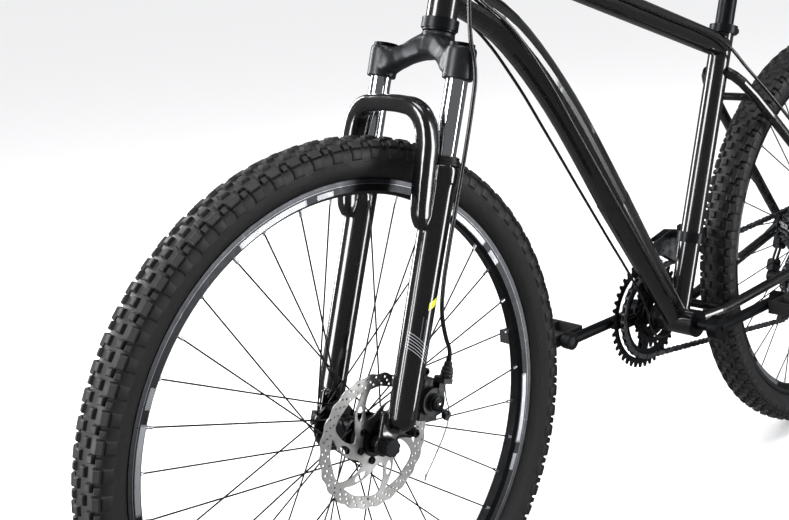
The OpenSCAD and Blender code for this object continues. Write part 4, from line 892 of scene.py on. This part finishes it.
# Each wheel of the chain's path: its centre, its pitch radius and the way the chain wraps it
wheel_list = [(crank_axle.x, crank_axle.z, 34 * pitch_radius, 1), (-514, 197, 11 * pitch_radius, 1),
    (-529, 251, 11 * pitch_radius, -1),
    (rear_axle.x * 1000, rear_axle.z * 1000, 18 * pitch_radius, 1)]


def run_angle(a, b):
    dx, dz = b[0] - a[0], b[1] - a[1]
    return math.atan2(dz, dx) + math.acos((a[2] * a[3] - b[2] * b[3]) / math.hypot(dx, dz))


loop = []
for i in range(4):
    here = wheel_list[i]
    a0 = run_angle(wheel_list[i - 1], here)
    a1 = run_angle(here, wheel_list[(i + 1) % 4])
    turn = -((a0 - a1) % (2 * math.pi)) if here[3] > 0 else (a1 - a0) % (2 * math.pi)
    for k in range(25):
        a = a0 + turn * k / 24
        loop.append(Vector((here[0] + here[2] * here[3] * math.cos(a), 0,
            here[1] + here[2] * here[3] * math.sin(a))))
loop.append(loop[0])
lengths = [0.0]
for p, q in zip(loop, loop[1:]):
    lengths.append(lengths[-1] + (q - p).length)
links = 2 * round(lengths[-1] / (2 * 12.7))


def on_loop(distance):
    distance %= lengths[-1]
    for i in range(len(loop) - 1):
        if lengths[i + 1] >= distance and lengths[i + 1] > lengths[i]:
            t = (distance - lengths[i]) / (lengths[i + 1] - lengths[i])
            return loop[i].lerp(loop[i + 1], t)
    return loop[-1]


def chain_plate(half_gap):
    """One waisted side plate lying along X, its pins 12.7 mm apart."""
    plate = bpy.data.curves.new("chain_plate", "CURVE")
    plate.dimensions = "2D"
    plate.fill_mode = "BOTH"
    plate.extrude = 0.00045
    ring = plate.splines.new("POLY")
    shape = [(6.35 + 4.1 * math.cos(a), 4.1 * math.sin(a)) for a in
        [math.radians(d) for d in (-110, -75, -40, 0, 40, 75, 110)]]
    shape += [(0, 3)] + [(-6.35 - 4.1 * math.cos(a), 4.1 * math.sin(a)) for a in
        [math.radians(d) for d in (110, 75, 40, 0, -40, -75, -110)]] + [(0, -3)]
    ring.points.add(len(shape) - 1)
    for knot, (px, py) in zip(ring.points, shape):
        knot.co = (px / 1000, py / 1000, 0, 1)
    ring.use_cyclic_u = True
    link = bpy.data.objects.new("chain_plate", plate)
    bpy.context.scene.collection.objects.link(link)
    bpy.ops.object.select_all(action="DESELECT")
    link.select_set(True)
    bpy.context.view_layer.objects.active = link
    bpy.ops.object.convert(target="MESH")
    link = bpy.context.object
    start_edit(link)
    bpy.ops.mesh.remove_doubles(threshold=0.00001)
    end_edit()
    link.data.transform(Matrix.Translation((0, half_gap / 1000, 0))
        @ Matrix.Rotation(math.pi / 2, 4, "X"))
    return link


step = lengths[-1] / links
inner_places, outer_places, pin_places = [], [], []
for i in range(links):
    a, b = on_loop(i * step), on_loop((i + 1) * step)
    run = b - a
    centre = (a + b) / 2 + Vector((0, -50, 0))
    place = Matrix.Translation(centre / 1000) @ Matrix.Rotation(
        -math.atan2(run.z, run.x), 4, "Y")
    flip = place @ Matrix.Diagonal((1, -1, 1, 1))
    (inner_places if i % 2 else outer_places).extend((place, flip))
    pin_places.append(Matrix.Translation((a + Vector((0, -50, 0))) / 1000))
outer = repeated(chain_plate(3.3), outer_places, "chain_outer_plates")
inner = repeated(chain_plate(2.3), inner_places, "chain_inner_plates")
roller = turned("chain_roller", [(0.02, -3.9), (1.7, -3.9), (1.8, -2), (3.8, -1.8), (3.8, 1.8),
    (1.8, 2), (1.7, 3.9), (0.02, 3.9)], 10, "Y")
rollers = repeated(roller, pin_places, "chain_rollers")
for piece in (outer, inner, rollers):
    settle(piece, Matrix.Identity(4), chain_steel, "frame")
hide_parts("chain")
